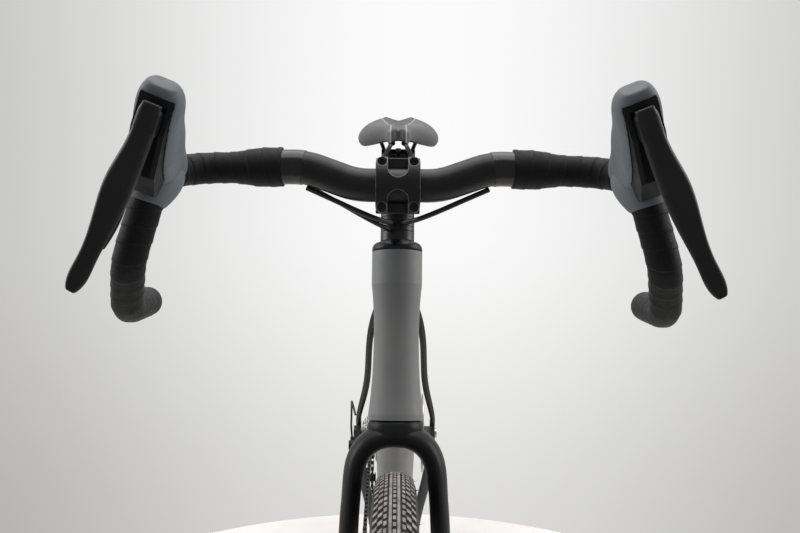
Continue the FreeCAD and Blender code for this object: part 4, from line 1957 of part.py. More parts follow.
BRAKE_HOSE = ((-5, 87, -3.5), (0, 63, -13.4), (6, 39, -23.5), (-2, 20, -32.5), (-26, 6, -39.5))
SHIFT_HOSE = ((-11.5, 87, -2.5), (-8, 63, -14), (-3, 39, -27), (-11, 21, -38), (-31, 9, -46.5))
HOUSING = ((8, -82.4, 41), (-16, -89.4, 55), (-45, -93.4, 53), (-66, -94.4, 32), (-76, -95.4, 4))


def make_cables():
    """Shift housing from the right dropout to the derailleur, and the hoses under the stem."""
    stop = HOUSING_STOP + HOUSING_EXIT * (12 + FIT)
    points = [REAR_AXLE + V(*place) for place in HOUSING] + [stop + HOUSING_EXIT * 22, stop]
    node("rear_shift_housing", cord("rear shift housing", points, SHIFT_HOUSING_RADIUS))
    left = cord("left brake hose", hose_points(1, BRAKE_HOSE, 28, 7), HOSE_RADIUS)
    right = cord("right brake hose", hose_points(-1, BRAKE_HOSE, 28, 7), HOSE_RADIUS)
    shift = cord("right shift housing", hose_points(-1, SHIFT_HOSE, 21, 9), SHIFT_HOUSING_RADIUS)
    node("bar_cables", left, right, shift)


def main():
    os.makedirs("parts", exist_ok=True)
    make_wheel("front", FRONT_AXLE, FRONT_FLANGES, FRONT_HUB_END, FRONT_ROTOR_SIDE)
    make_wheel("rear", REAR_AXLE, REAR_FLANGES, REAR_HUB_END, REAR_ROTOR_SIDE)
    front_axle = [thru_axle(FRONT_HUB_WIDTH / 2, FORK_DROPOUT_THICKNESS, -1)]
    front_axle += axle_sleeve(FRONT_HUB_WIDTH / 2)
    node("front_thru_axle", *[moved(solid, FRONT_AXLE) for solid in front_axle])
    rear_axle = [thru_axle(REAR_HUB_WIDTH / 2, DROPOUT_THICKNESS, 1)]
    rear_axle += axle_sleeve(REAR_HUB_WIDTH / 2)
    node("rear_thru_axle", *[moved(solid, REAR_AXLE) for solid in rear_axle])
    make_frame()
    make_hanger()
    make_headset()
    make_bottom_bracket()
    make_seat_collar()
    make_saddle()
    make_seatpost()
    make_fork()
    make_calipers()
    make_column()
    make_stem()
    path = make_bar()
    make_levers(path)
    make_chain()
    make_cassette()
    make_crankset()
    make_pedals()
    make_derailleur()
    make_cables()
    for name, solids in NODES.items():
        shape = solids[0] if len(solids) == 1 else Part.makeCompound(solids)
        shape.exportStep("parts/" + name + ".step")
        bad = [index for index, solid in enumerate(solids) if not solid.isValid() or solid.Volume <= 0]
        print(name, len(solids), round(sum(solid.Volume for solid in solids)), "bad" if bad else "")


main()
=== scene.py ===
# %% [markdown]
# # A gravel bike, dressed in Blender
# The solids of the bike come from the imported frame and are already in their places, in metres.
# Every cell below adds one finish or one piece: paint, rubber, tape, tread and the saddle's cover.
# X points forwards, Y to the rider's left and Z up, as in the solids.

# %% Load the frame
import json
import math

import bpy
import numpy as np
from mathutils import Matrix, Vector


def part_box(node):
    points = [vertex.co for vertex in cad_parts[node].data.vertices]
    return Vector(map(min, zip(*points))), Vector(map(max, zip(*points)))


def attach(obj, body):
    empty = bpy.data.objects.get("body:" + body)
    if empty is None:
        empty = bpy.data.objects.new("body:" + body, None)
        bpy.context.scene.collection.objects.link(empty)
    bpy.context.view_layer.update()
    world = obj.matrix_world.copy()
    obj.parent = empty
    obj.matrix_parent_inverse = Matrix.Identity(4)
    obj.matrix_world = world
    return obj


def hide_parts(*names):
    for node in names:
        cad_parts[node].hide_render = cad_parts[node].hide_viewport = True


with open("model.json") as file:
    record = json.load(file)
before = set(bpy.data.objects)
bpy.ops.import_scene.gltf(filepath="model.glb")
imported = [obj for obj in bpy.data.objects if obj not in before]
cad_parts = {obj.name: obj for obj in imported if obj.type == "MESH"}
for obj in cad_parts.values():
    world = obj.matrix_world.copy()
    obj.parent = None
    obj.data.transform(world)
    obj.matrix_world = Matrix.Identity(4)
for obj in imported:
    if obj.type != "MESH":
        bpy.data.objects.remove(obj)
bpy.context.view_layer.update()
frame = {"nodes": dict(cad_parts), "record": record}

nodes = frame["nodes"]
scene = bpy.context.scene
scene.view_settings.view_transform = "Standard"

# %% [markdown]
# ## Camera
# The picture was taken from straight ahead, a little above the bar, with a short lens.
# The focal length in pixels and the tilt come from sizes that are known on any such bike, such as
# the 31.8 mm bar clamp. Writing the three axes of the camera as a matrix keeps its small roll plain.

# %% Camera
IMAGE_WIDTH = 800
FOCAL_PIXELS = 851.5
SENSOR_WIDTH = 36.0
CAMERA_PLACE = (1.1543, 0.0, 1.029)
CAMERA_TILT = math.radians(11.07)
CAMERA_AIM = math.radians(0.2)
CAMERA_ROLL = math.radians(0.62)


def camera_axes(tilt, aim, roll):
    """Right, up and backward directions: look along -X, tip down, turn to +Y, then roll."""
    ahead = np.array([-math.cos(tilt) * math.cos(aim), math.cos(tilt) * math.sin(aim), -math.sin(tilt)])
    right = np.array([math.sin(aim), math.cos(aim), 0.0])
    up = np.cross(right, ahead)
    rolled_right = math.cos(roll) * right + math.sin(roll) * up
    rolled_up = math.cos(roll) * up - math.sin(roll) * right
    return np.stack([rolled_right, rolled_up, -ahead], axis=1)


camera = bpy.data.objects.new("camera", bpy.data.cameras.new("camera"))
scene.collection.objects.link(camera)
camera.data.sensor_fit = "HORIZONTAL"
camera.data.sensor_width = SENSOR_WIDTH
camera.data.lens = FOCAL_PIXELS * SENSOR_WIDTH / IMAGE_WIDTH
camera.data.clip_start = 0.01
placing = np.eye(4)
placing[:3, :3] = camera_axes(CAMERA_TILT, CAMERA_AIM, CAMERA_ROLL)
placing[:3, 3] = CAMERA_PLACE
camera.matrix_world = Matrix(placing.tolist())
scene.camera = camera
print("lens", round(camera.data.lens, 2))

# %% [markdown]
# ## Helpers for surfaces
# A piece is a grid of points worked out with numpy. Two helpers turn such a grid into a mesh: one
# joins the rows into four-sided faces, and one makes the object and lets it ride on its body.
# If the volume comes out negative the faces look inwards, so all of them are turned round.

# %% Grid helpers
def grid_faces(rows, columns, wrap_rows=False, wrap_columns=False):
    """Faces of a grid: each joins a point with its neighbours along the row and the column."""
    row = np.arange(rows if wrap_rows else rows - 1)[:, None]
    column = np.arange(columns if wrap_columns else columns - 1)[None, :]
    next_row = (row + 1) % rows
    next_column = (column + 1) % columns
    corners = [row * columns + column, row * columns + next_column,
               next_row * columns + next_column, next_row * columns + column]
    return np.stack(np.broadcast_arrays(*corners), axis=-1).reshape(-1, 4)


def end_fans(points):
    """Closes the two ends of a tube: the middle of each end ring joined to the ring's points."""
    rows, columns = points.shape[:2]
    ring = np.arange(columns)
    first = np.stack([np.full(columns, rows * columns), (ring + 1) % columns, ring], axis=1)
    base = (rows - 1) * columns
    last = np.stack([np.full(columns, rows * columns + 1), base + ring, base + (ring + 1) % columns], axis=1)
    middles = np.stack([points[0].mean(axis=0), points[-1].mean(axis=0)])
    return middles, np.concatenate([first, last])


def signed_volume(points, faces):
    """A sixth of the sum of the corner products of all triangles: below zero means inside out."""
    total = 0.0
    for a, b, c in ((0, 1, 2), (0, 2, 3))[:faces.shape[1] - 2]:
        corner = points[faces[:, a]], points[faces[:, b]], points[faces[:, c]]
        total += np.einsum("ij,ij->i", corner[0], np.cross(corner[1], corner[2])).sum() / 6
    return total


def make_piece(name, points, face_sets, body, finish, smooth=True):
    """A mesh object from points in metres and lists of faces, riding on a body."""
    points = np.asarray(points, float).reshape(-1, 3)
    if sum(signed_volume(points, faces) for faces in face_sets) < 0:
        face_sets = [faces[:, ::-1] for faces in face_sets]
    mesh = bpy.data.meshes.new(name)
    mesh.from_pydata(points.tolist(), [], [face for faces in face_sets for face in faces.tolist()])
    mesh.polygons.foreach_set("use_smooth", np.full(len(mesh.polygons), smooth))
    mesh.materials.append(finish)
    piece = bpy.data.objects.new(name, mesh)
    scene.collection.objects.link(piece)
    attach(piece, body)
    print(name, len(mesh.vertices), "points", len(mesh.polygons), "faces")
    return piece


def tube_piece(name, points, body, finish):
    """A tube of rings with both ends closed."""
    rows, columns = points.shape[:2]
    middles, fans = end_fans(points)
    sides = grid_faces(rows, columns, wrap_columns=True)
    everything = np.concatenate([points.reshape(-1, 3), middles])
    return make_piece(name, everything, [sides, fans], body, finish)


def point_attribute(mesh, name, values):
    """One number for each point of a mesh, for a finish to read."""
    layer = mesh.attributes.new(name, "FLOAT", "POINT")
    layer.data.foreach_set("value", values.astype(np.float32))


def smooth_through(keys, share, closed=False):
    """A curve through key points: on each stretch a cubic whose slopes are half the neighbours' step."""
    keys = np.asarray(keys, float)
    count = len(keys)
    spans = count if closed else count - 1
    place = np.clip(np.asarray(share, float) * spans, 0, spans - 1e-9)
    index = place.astype(int)
    t = (place - index)[:, None]

    def key(offset):
        number = index + offset
        return keys[number % count] if closed else keys[np.clip(number, 0, count - 1)]

    before, start, end, after = [key(offset).reshape(len(place), -1) for offset in (-1, 0, 1, 2)]
    value = 0.5 * (2 * start + (end - before) * t + (2 * before - 5 * start + 4 * end - after) * t ** 2
                   + (3 * start - before - 3 * end + after) * t ** 3)
    return value.reshape((len(place),) + keys.shape[1:])


# %% [markdown]
# ## Finishes
# Every finish is built from noise in object coordinates, so it needs no picture and no unwrapping.
# One noise makes slow clouds in the colour, a second moves the gloss, and a fine grain gives bump.
# The words for a finish are its colour, its gloss, and how coarse and deep its grain is.

# %% Finish maker
def add(tree, kind, **settings):
    """A node with its settings, by property name."""
    node = tree.nodes.new(kind)
    for name, value in settings.items():
        setattr(node, name, value)
    return node


def noise(tree, vector, scale, detail=3.0):
    """Soft noise with so many spots to the metre."""
    node = add(tree, "ShaderNodeTexNoise")
    node.inputs["Scale"].default_value = scale
    node.inputs["Detail"].default_value = detail
    tree.links.new(vector, node.inputs["Vector"])
    return node.outputs["Fac"]


def ranged(tree, value, low, high, from_low=0.3, from_high=0.7, kind="LINEAR"):
    """The value spread over a new range."""
    node = add(tree, "ShaderNodeMapRange", interpolation_type=kind)
    limits = {"From Min": from_low, "From Max": from_high, "To Min": low, "To Max": high}
    for name, number in limits.items():
        node.inputs[name].default_value = number
    tree.links.new(value, node.inputs["Value"])
    return node.outputs["Result"]


def mixed(tree, share, first, second):
    """Two colours mixed; a colour may be numbers or another node's output."""
    node = add(tree, "ShaderNodeMix", data_type="RGBA")
    tree.links.new(share, node.inputs["Factor"])
    for socket, colour in ((node.inputs[6], first), (node.inputs[7], second)):
        if isinstance(colour, tuple):
            socket.default_value = (*colour, 1.0)
        else:
            tree.links.new(colour, socket)
    return node.outputs[2]


def blank(name):
    """A new material: its tree, its shader and its object coordinates."""
    material = bpy.data.materials.new(name)
    material.use_nodes = True
    tree = material.node_tree
    shader = tree.nodes["Principled BSDF"]
    place = add(tree, "ShaderNodeTexCoord").outputs["Object"]
    return material, tree, shader, place


def bumped(tree, shader, height, depth):
    """Fine relief of a height field, with its depth in metres."""
    node = add(tree, "ShaderNodeBump")
    node.inputs["Strength"].default_value = 1.0
    node.inputs["Distance"].default_value = depth
    tree.links.new(height, node.inputs["Height"])
    tree.links.new(node.outputs["Normal"], shader.inputs["Normal"])


def finish(name, colour, shade, rough, grain, depth, metal=0.0, coat=0.0, shine=0.5):
    """A plain finish: clouds between two colours, paler edges as painted highlight, a moving gloss and an
    even grain.
    """
    material, tree, shader, place = blank(name)
    clouds = ranged(tree, noise(tree, place, 22.0, 5.0), 0.0, 1.0)
    edge = add(tree, "ShaderNodeAttribute", attribute_name="edge").outputs["Fac"]
    plain = mixed(tree, clouds, colour, shade)
    # Painted highlight: where the edge attribute is set the colour turns paler, a thin line of light on
    # rounded edges.
    edge_highlight = tuple(0.5 * part + 0.32 for part in colour)
    tree.links.new(mixed(tree, edge, plain, edge_highlight), shader.inputs["Base Color"])
    gloss = ranged(tree, noise(tree, place, 130.0, 4.0), rough * 0.86, rough * 1.14)
    tree.links.new(gloss, shader.inputs["Roughness"])
    bumped(tree, shader, noise(tree, place, grain, 2.0), depth)
    shader.inputs["Metallic"].default_value = metal
    shader.inputs["Coat Weight"].default_value = coat
    shader.inputs["Coat Roughness"].default_value = 0.12
    shader.inputs["Specular IOR Level"].default_value = shine
    return material


# %% Plain finishes for the CAD pieces
PLAIN_FINISHES = [  # name, tone, darker tone, roughness, grain to the metre, its depth, metal, coat, shine
    ("frame_paint", 0.250, 0.215, 0.50, 2600, 0.00002, 0.0, 0.0, 0.40),
    ("black_paint", 0.0060, 0.0090, 0.42, 2400, 0.00002, 0.0, 0.0, 0.28),
    ("satin_black", 0.0055, 0.0090, 0.38, 3200, 0.00002, 0.0, 0.0, 0.30),
    ("gloss_black", 0.0045, 0.0070, 0.22, 900, 0.00001, 0.0, 0.3, 0.40),
    ("hood_rubber", 0.168, 0.188, 0.62, 3800, 0.00005, 0.0, 0.0, 0.35),
    ("rim", 0.010, 0.016, 0.42, 1800, 0.00002, 0.0, 0.0, 0.45),
    ("alloy", 0.52, 0.42, 0.33, 4200, 0.00002, 1.0, 0.0, 0.50),
    ("steel", 0.45, 0.32, 0.30, 2800, 0.00002, 1.0, 0.0, 0.50),
    ("dark_alloy", 0.035, 0.055, 0.36, 3000, 0.00002, 0.75, 0.0, 0.50),
    ("black_plastic", 0.009, 0.013, 0.55, 2200, 0.00004, 0.0, 0.0, 0.22),
    ("spacer", 0.020, 0.030, 0.34, 3200, 0.00002, 0.0, 0.0, 0.45),
    ("hose", 0.007, 0.011, 0.36, 1500, 0.00001, 0.0, 0.0, 0.40),
    ("band", 0.0045, 0.008, 0.24, 700, 0.00003, 0.0, 0.15, 0.35),
    ("floor", 0.86, 0.82, 0.60, 500, 0.00002, 0.0, 0.0, 0.30),
]


def tinted(tone):
    """A grey tone with a trace of the paint's own tint: pale tones warm, dark tones cool."""
    warm = 0.03 if tone > 0.22 else -0.05
    return (tone * (1 + warm), tone, tone * (1 - warm))


FINISHES = {}
for name, tone, darker, rough, grain, depth, metal, coat, shine in PLAIN_FINISHES:
    FINISHES[name] = finish(name, tinted(tone), tinted(darker), rough, grain, depth, metal, coat, shine)


def two_tone(material, origin, forward, border, dark):
    """Repaint what lies behind a sloping plane: (place - origin) . forward below the border turns dark."""
    tree = material.node_tree
    base = tree.nodes["Principled BSDF"].inputs["Base Color"]
    paint = base.links[0].from_socket
    place = add(tree, "ShaderNodeTexCoord").outputs["Object"]
    across = add(tree, "ShaderNodeVectorMath", operation="SUBTRACT")
    tree.links.new(place, across.inputs[0])
    across.inputs[1].default_value = origin
    ahead = add(tree, "ShaderNodeVectorMath", operation="DOT_PRODUCT")
    tree.links.new(across.outputs["Vector"], ahead.inputs[0])
    ahead.inputs[1].default_value = forward
    behind = ranged(tree, ahead.outputs["Value"], 1.0, 0.0, border - 0.0005, border)
    tree.links.new(mixed(tree, behind, paint, dark), base)


# The stays behind the seat tube are black. The plane lies along the back of that tube.
BRACKET_CENTRE = (-0.09442, 0.0, 0.279)
SEAT_FORWARD = (0.95882, 0.0, 0.284015)
SEAT_TUBE_BACK = -0.0182
STAY_BLACK = (0.0065, 0.0067, 0.007)
two_tone(FINISHES["frame_paint"], BRACKET_CENTRE, SEAT_FORWARD, SEAT_TUBE_BACK, STAY_BLACK)
print("finishes", len(FINISHES))

# %% [markdown]
# ## Bar tape
# The tape is a soft strip wound round the bar, each turn lying over the edge of the last.
# Its skin has a fine leather-like grain. Cells of a Voronoi texture, a millimetre across, give that.

# %% Tape and rubber finishes
def grained(name, colour, dark, rough, cells, depth, sheen):
    """A soft skin of small cells: the cell walls are darker and lie lower."""
    material, tree, shader, place = blank(name)
    cell = add(tree, "ShaderNodeTexVoronoi", feature="F1")
    cell.inputs["Scale"].default_value = cells
    tree.links.new(place, cell.inputs["Vector"])
    height = ranged(tree, cell.outputs["Distance"], 1.0, 0.0, 0.1, 0.75)
    clouds = ranged(tree, noise(tree, place, 30.0, 4.0), 0.55, 1.0)
    mixing = add(tree, "ShaderNodeMath", operation="MULTIPLY")
    tree.links.new(height, mixing.inputs[0])
    tree.links.new(clouds, mixing.inputs[1])
    tree.links.new(mixed(tree, mixing.outputs[0], dark, colour), shader.inputs["Base Color"])
    gloss = ranged(tree, noise(tree, place, 160.0), rough - 0.07, rough + 0.07)
    tree.links.new(gloss, shader.inputs["Roughness"])
    bumped(tree, shader, height, depth)
    shader.inputs["Sheen Weight"].default_value = sheen
    shader.inputs["Specular IOR Level"].default_value = 0.18
    return material


TAPE_TONE = (0.0090, 0.0094, 0.0097)
TAPE_SHADE = (0.004, 0.004, 0.0043)
FINISHES["bar_tape"] = grained("bar_tape", TAPE_TONE, TAPE_SHADE, 0.56, 1100.0, 0.00015, 0.05)


def tyre_finish():
    """Black rubber whose block tops are dusty: an attribute says how high a point stands."""
    material, tree, shader, place = blank("tyre")
    height = add(tree, "ShaderNodeAttribute", attribute_name="wear").outputs["Fac"]
    dust = ranged(tree, noise(tree, place, 90.0, 5.0), 0.45, 1.0)
    both = add(tree, "ShaderNodeMath", operation="MULTIPLY")
    tree.links.new(height, both.inputs[0])
    tree.links.new(dust, both.inputs[1])
    rubber = mixed(tree, both.outputs[0], (0.014, 0.0135, 0.013), (0.34, 0.325, 0.305))
    tree.links.new(rubber, shader.inputs["Base Color"])
    tree.links.new(ranged(tree, height, 0.62, 0.88, 0.0, 1.0), shader.inputs["Roughness"])
    bumped(tree, shader, noise(tree, place, 1400.0, 3.0), 0.0001)
    return material


FINISHES["tyre"] = tyre_finish()


def saddle_finish():
    """Two greys of a fine woven cover, parted by thin pale lines along an attribute's zero."""
    material, tree, shader, place = blank("saddle_cover")
    seam = add(tree, "ShaderNodeAttribute", attribute_name="seam").outputs["Fac"]
    side = ranged(tree, seam, 0.0, 1.0, -0.0006, 0.0006)
    cell = add(tree, "ShaderNodeTexVoronoi", feature="F1")
    cell.inputs["Scale"].default_value = 1500.0
    tree.links.new(place, cell.inputs["Vector"])
    grain = ranged(tree, cell.outputs["Distance"], 0.0, 1.0, 0.1, 0.7)
    wing = mixed(tree, grain, (0.105, 0.106, 0.108), (0.072, 0.073, 0.075))
    middle = mixed(tree, grain, (0.062, 0.063, 0.066), (0.040, 0.041, 0.043))
    cloth = mixed(tree, side, middle, wing)
    size = add(tree, "ShaderNodeMath", operation="ABSOLUTE")
    tree.links.new(seam, size.inputs[0])
    line = ranged(tree, size.outputs[0], 1.0, 0.0, 0.0007, 0.0012)
    tree.links.new(mixed(tree, line, cloth, (0.34, 0.34, 0.335)), shader.inputs["Base Color"])
    tree.links.new(ranged(tree, noise(tree, place, 140.0), 0.55, 0.70), shader.inputs["Roughness"])
    bumped(tree, shader, grain, 0.00008)
    shader.inputs["Sheen Weight"].default_value = 0.1
    return material


FINISHES["saddle_cover"] = saddle_finish()

# %% Dress the CAD nodes
slots = {}
for entry in frame["record"]["subparts"]:
    slots[entry["node"]] = entry["material_slot"]
for name, node in nodes.items():
    node.data.materials.clear()
    node.data.materials.append(FINISHES[slots[name]])
OTHER_FINISHES = {"headset_spacers": "spacer", "stem_bolts": "satin_black", "saddle_rails": "satin_black",
                  "chain": "dark_alloy", "chain_in_cage": "dark_alloy",
                  "lever_bracket_left": "black_plastic", "lever_bracket_right": "black_plastic"}
for name, other in OTHER_FINISHES.items():
    nodes[name].data.materials[0] = FINISHES[other]
print("dressed", len(slots))

# %% [markdown]
# ## Floor and light
# The bike stands on a round white platform in front of a pale wall. The platform is a turned profile.
# The wall is left to the world's colour: a soft bright spot behind the bike that falls off to grey.
# Only camera, mirror and see-through rays see that colour, so the light on the bike stays plain.

# %% Floor
PLATFORM_RADIUS = 0.97
PLATFORM_CENTRE = (0.12, 0.0)
PLATFORM_SIDES = 160
PLATFORM_EDGE = [(-0.01, 0.0), (-0.003, -0.002), (0.0, -0.006), (0.0, -0.03)]  # from the rim, and down


def turned_profile(profile, count, centre, axis="z"):
    """A profile of radius and height carried round an upright axis (or the wheel's level one)."""
    profile = np.asarray(profile, float)
    angle = np.linspace(0, 2 * np.pi, count, endpoint=False)[:, None]
    radius, height = profile[None, :, 0], profile[None, :, 1]
    level = np.broadcast_to(height, (count, len(profile)))
    cosine, sine = radius * np.cos(angle), radius * np.sin(angle)
    if axis == "z":
        return np.stack([cosine + centre[0], sine + centre[1], level], axis=-1)
    return np.stack([sine + centre[0], level + centre[1], cosine + centre[2]], axis=-1)


rim_profile = [(0.0, 0.0), (0.5, 0.0)] + [(PLATFORM_RADIUS + out, down) for out, down in PLATFORM_EDGE]
floor_points = turned_profile(rim_profile, PLATFORM_SIDES, PLATFORM_CENTRE)
floor_faces = grid_faces(PLATFORM_SIDES, len(rim_profile), wrap_rows=True)
floor_mesh = bpy.data.meshes.new("floor")
floor_mesh.from_pydata(floor_points.reshape(-1, 3).tolist(), [], floor_faces.tolist())
floor_mesh.materials.append(FINISHES["floor"])
floor = bpy.data.objects.new("floor", floor_mesh)
scene.collection.objects.link(floor)
print("floor radius", PLATFORM_RADIUS)


# %% World and lamps
def studio_world():
    """Tone by direction: the wall fades to both sides, low down and towards the front of the room."""
    world = bpy.data.worlds.new("studio")
    scene.world = world
    world.use_nodes = True
    tree = world.node_tree
    place = add(tree, "ShaderNodeTexCoord").outputs["Generated"]
    split = add(tree, "ShaderNodeSeparateXYZ")
    tree.links.new(place, split.inputs[0])
    beside = add(tree, "ShaderNodeMath", operation="SUBTRACT")
    tree.links.new(split.outputs["Y"], beside.inputs[0])
    beside.inputs[1].default_value = 0.03
    far = add(tree, "ShaderNodeMath", operation="ABSOLUTE")
    tree.links.new(beside.outputs[0], far.inputs[0])
    sides = ranged(tree, far.outputs[0], 0.0, 1.0, 0.02, 0.62, "SMOOTHSTEP")
    low = ranged(tree, split.outputs["Z"], 1.0, 0.0, -0.52, -0.12, "SMOOTHSTEP")
    front = ranged(tree, split.outputs["X"], 0.0, 1.0, -0.6, 0.5, "SMOOTHSTEP")
    tone = mixed(tree, sides, (0.96, 0.96, 0.96), (0.50, 0.495, 0.49))
    shade = add(tree, "ShaderNodeMix", data_type="RGBA", blend_type="MULTIPLY")
    tree.links.new(low, shade.inputs["Factor"])
    tree.links.new(tone, shade.inputs[6])
    shade.inputs[7].default_value = (0.74, 0.735, 0.72, 1.0)
    wall = add(tree, "ShaderNodeBackground")
    tree.links.new(mixed(tree, front, shade.outputs[2], (0.34, 0.34, 0.34)), wall.inputs["Color"])
    light = tree.nodes["Background"]
    tree.links.new(mixed(tree, front, (0.95, 0.95, 0.95), (0.26, 0.26, 0.26)), light.inputs["Color"])
    light.inputs["Strength"].default_value = 0.8
    path = add(tree, "ShaderNodeLightPath")
    seen = path.outputs["Is Camera Ray"]
    for name in ("Is Glossy Ray", "Is Transmission Ray"):
        either = add(tree, "ShaderNodeMath", operation="MAXIMUM")
        tree.links.new(seen, either.inputs[0])
        tree.links.new(path.outputs[name], either.inputs[1])
        seen = either.outputs[0]
    choose = add(tree, "ShaderNodeMixShader")
    tree.links.new(seen, choose.inputs[0])
    tree.links.new(light.outputs[0], choose.inputs[1])
    tree.links.new(wall.outputs[0], choose.inputs[2])
    tree.links.new(choose.outputs[0], tree.nodes["World Output"].inputs["Surface"])


def soft_box(name, place, target, size, power):
    """A square soft lamp at a place, facing a target."""
    lamp = bpy.data.lights.new(name, "AREA")
    lamp.size = size
    lamp.energy = power
    holder = bpy.data.objects.new(name, lamp)
    away = np.array(place) - np.array(target)
    away = away / np.linalg.norm(away)
    side = np.cross((0.0, 0.0, 1.0) if abs(away[2]) < 0.95 else (0.0, 1.0, 0.0), away)
    side = side / np.linalg.norm(side)
    turn = np.eye(4)
    turn[:3, :3] = np.stack([side, np.cross(away, side), away], axis=1)
    turn[:3, 3] = place
    holder.matrix_world = Matrix(turn.tolist())
    scene.collection.objects.link(holder)


studio_world()
LAMPS = [  # name, place, target, size, watts
    ("lamp_top", (-0.2, 0.0, 3.0), (0.0, 0.0, 0.5), 2.6, 56.0),
    ("lamp_left", (-0.2, -2.7, 1.7), (0.1, 0.0, 0.6), 1.8, 34.0),
    ("lamp_right", (-0.2, 2.7, 1.7), (0.1, 0.0, 0.6), 1.8, 34.0),
]
for lamp_name, place, target, size, power in LAMPS:
    soft_box(lamp_name, place, target, size, power)
print("lamps", len(LAMPS))

# %% [markdown]
# ## Tyres
# A gravel tyre has a smooth casing and a low tread: two ribs round the middle with small blocks
# between them, a row of blocks each side, and slanting shoulder knobs. A texture would not show in
# outline, so every block is a small frustum set on the crown by formula, hundreds at a time.

# %% Tyre surfaces
WHEEL_RADIUS = 0.351
TREAD_HEIGHT = 0.002
CROWN_DROP = 0.010
TYRE_HALF = 0.0205
TYRE_STEPS = 220
BEAD_RADIUS = 0.3112
CASING_WALL = 0.0028
BLOCK_SUNK = 0.0009
RIB_SIDES = np.array([0.0020, 0.0023, 0.0046, 0.0049])
RIB_DEPTHS = np.array([-0.0029, 0.0, 0.0, -0.0029])
HAIR_COUNT = 90
HAIR_RADIUS = 0.3405
HAIR_SIDE = 0.0178
HAIR_THICKNESS = 0.00035
# Radius and side of the casing's points, from the bead to the crown
CASING_KEYS = [(BEAD_RADIUS, 0.0121), (0.3172, 0.0123), (0.3245, 0.0183), (0.3312, 0.0204), (0.3378, 0.0194),
               (0.3425, 0.0165), (0.3460, 0.0110), (0.3484, 0.0052), (0.3490, 0.0)]


def crown_radius(side):
    """The outer radius of the tread at a distance from the middle: a parabola."""
    return WHEEL_RADIUS - CROWN_DROP * (side / TYRE_HALF) ** 2


def casing_grid():
    """The casing: key points of one half, mirrored, closed by an inner wall one casing's depth inside."""
    half = smooth_through(CASING_KEYS, np.linspace(0, 1, 22))
    outside = np.concatenate([half, half[-2::-1] * (1, -1)])
    inside = outside[::-1] * (1, 0.8) - (CASING_WALL, 0.0)
    return np.concatenate([outside, np.maximum(inside, (BEAD_RADIUS, -1))])


def blocks(angle, side, along, across, skew, height=TREAD_HEIGHT, taper=0.86):
    """Frusta on the crown: corners run along and across, skewed, with the top a little smaller."""
    corner = np.array([(-1, -1), (1, -1), (1, 1), (-1, 1)], float)
    shrink = np.array([1.0, taper])[None, :, None]
    s = side[:, None, None] + corner[None, None, :, 1] * across / 2 * shrink
    run = corner[None, None, :, 0] * along / 2 * shrink + (s - side[:, None, None]) * skew[:, None, None]
    base = np.array([-BLOCK_SUNK, 0.0])[None, :, None] + np.array([-1.0, 0.0])[None, :, None] * height
    radius = crown_radius(s) + base
    theta = angle[:, None, None] + run / WHEEL_RADIUS
    return np.stack([radius * np.sin(theta), s + 0 * theta, radius * np.cos(theta)], axis=-1).reshape(-1, 3)


BLOCK_FACES = np.array([(3, 2, 1, 0), (4, 5, 6, 7), (0, 1, 5, 4), (1, 2, 6, 5), (2, 3, 7, 6), (3, 0, 4, 7)])
TREAD_ROWS = [  # copies round the wheel, side, length along, width across, skew, half-step start
    (220, 0.0, 0.0066, 0.0030, 0.0, 0.0), (200, 0.0077, 0.0076, 0.0029, 0.10, 0.0),
    (170, 0.0118, 0.0066, 0.0042, 0.55, 0.5), (170, 0.0160, 0.0058, 0.0042, 0.75, 0.0)]


def tread_rows():
    """All block rows of one tyre, the side rows once on each side."""
    parts = []
    for copies, side, along, across, skew, start in TREAD_ROWS:
        angle = (np.arange(copies) + start) * 2 * np.pi / copies
        for sign in ((1,) if side == 0 else (1, -1)):
            shift = 0 if sign > 0 else np.pi / copies
            sides, skews = np.full(copies, sign * side), np.full(copies, sign * skew)
            parts.append(blocks(angle + shift, sides, along, across, skews))
    return np.concatenate(parts)


def rib_rings(count):
    """Two low ribs: a four-cornered profile carried round the wheel on each side of the middle."""
    rings = []
    for sign in (1, -1):
        sides = RIB_SIDES * sign
        profile = np.stack([crown_radius(sides) + RIB_DEPTHS, sides], axis=1)
        rings.append(turned_profile(profile, count, (0, 0, 0), "y"))
    return rings


def vent_hairs(count, seed):
    """Thin rubber hairs left by the mould: narrow three-sided spikes along both shoulders."""
    chance = np.random.default_rng(seed)
    angle = chance.uniform(0, 2 * np.pi, count)
    sign = np.where(np.arange(count) % 2 == 0, 1.0, -1.0)
    length = chance.uniform(0.004, 0.008, count)
    lean = chance.uniform(-0.4, 0.4, count)
    sine, cosine = np.sin(angle), np.cos(angle)
    start = np.stack([sine * HAIR_RADIUS, sign * HAIR_SIDE, cosine * HAIR_RADIUS], axis=1)
    out = np.stack([sine * 0.35 + lean * cosine, sign * 0.9, cosine * 0.35 - lean * sine], axis=1)
    out /= np.linalg.norm(out, axis=1)[:, None]
    wide = np.cross(out, (0.3, 0.2, 0.9))
    wide /= np.linalg.norm(wide, axis=1)[:, None]
    deep = np.cross(out, wide)
    turn = np.arange(3) * 2 * np.pi / 3
    ring = wide[:, None, :] * np.cos(turn)[None, :, None] + deep[:, None, :] * np.sin(turn)[None, :, None]
    foot = start[:, None, :] + ring * HAIR_THICKNESS
    tip = start + out * length[:, None]
    points = np.concatenate([foot, tip[:, None, :]], axis=1).reshape(-1, 3)
    base = np.arange(count)[:, None, None] * 4
    faces = (np.array([(2, 1, 0), (0, 1, 3), (1, 2, 3), (2, 0, 3)])[None] + base).reshape(-1, 3)
    return points, faces


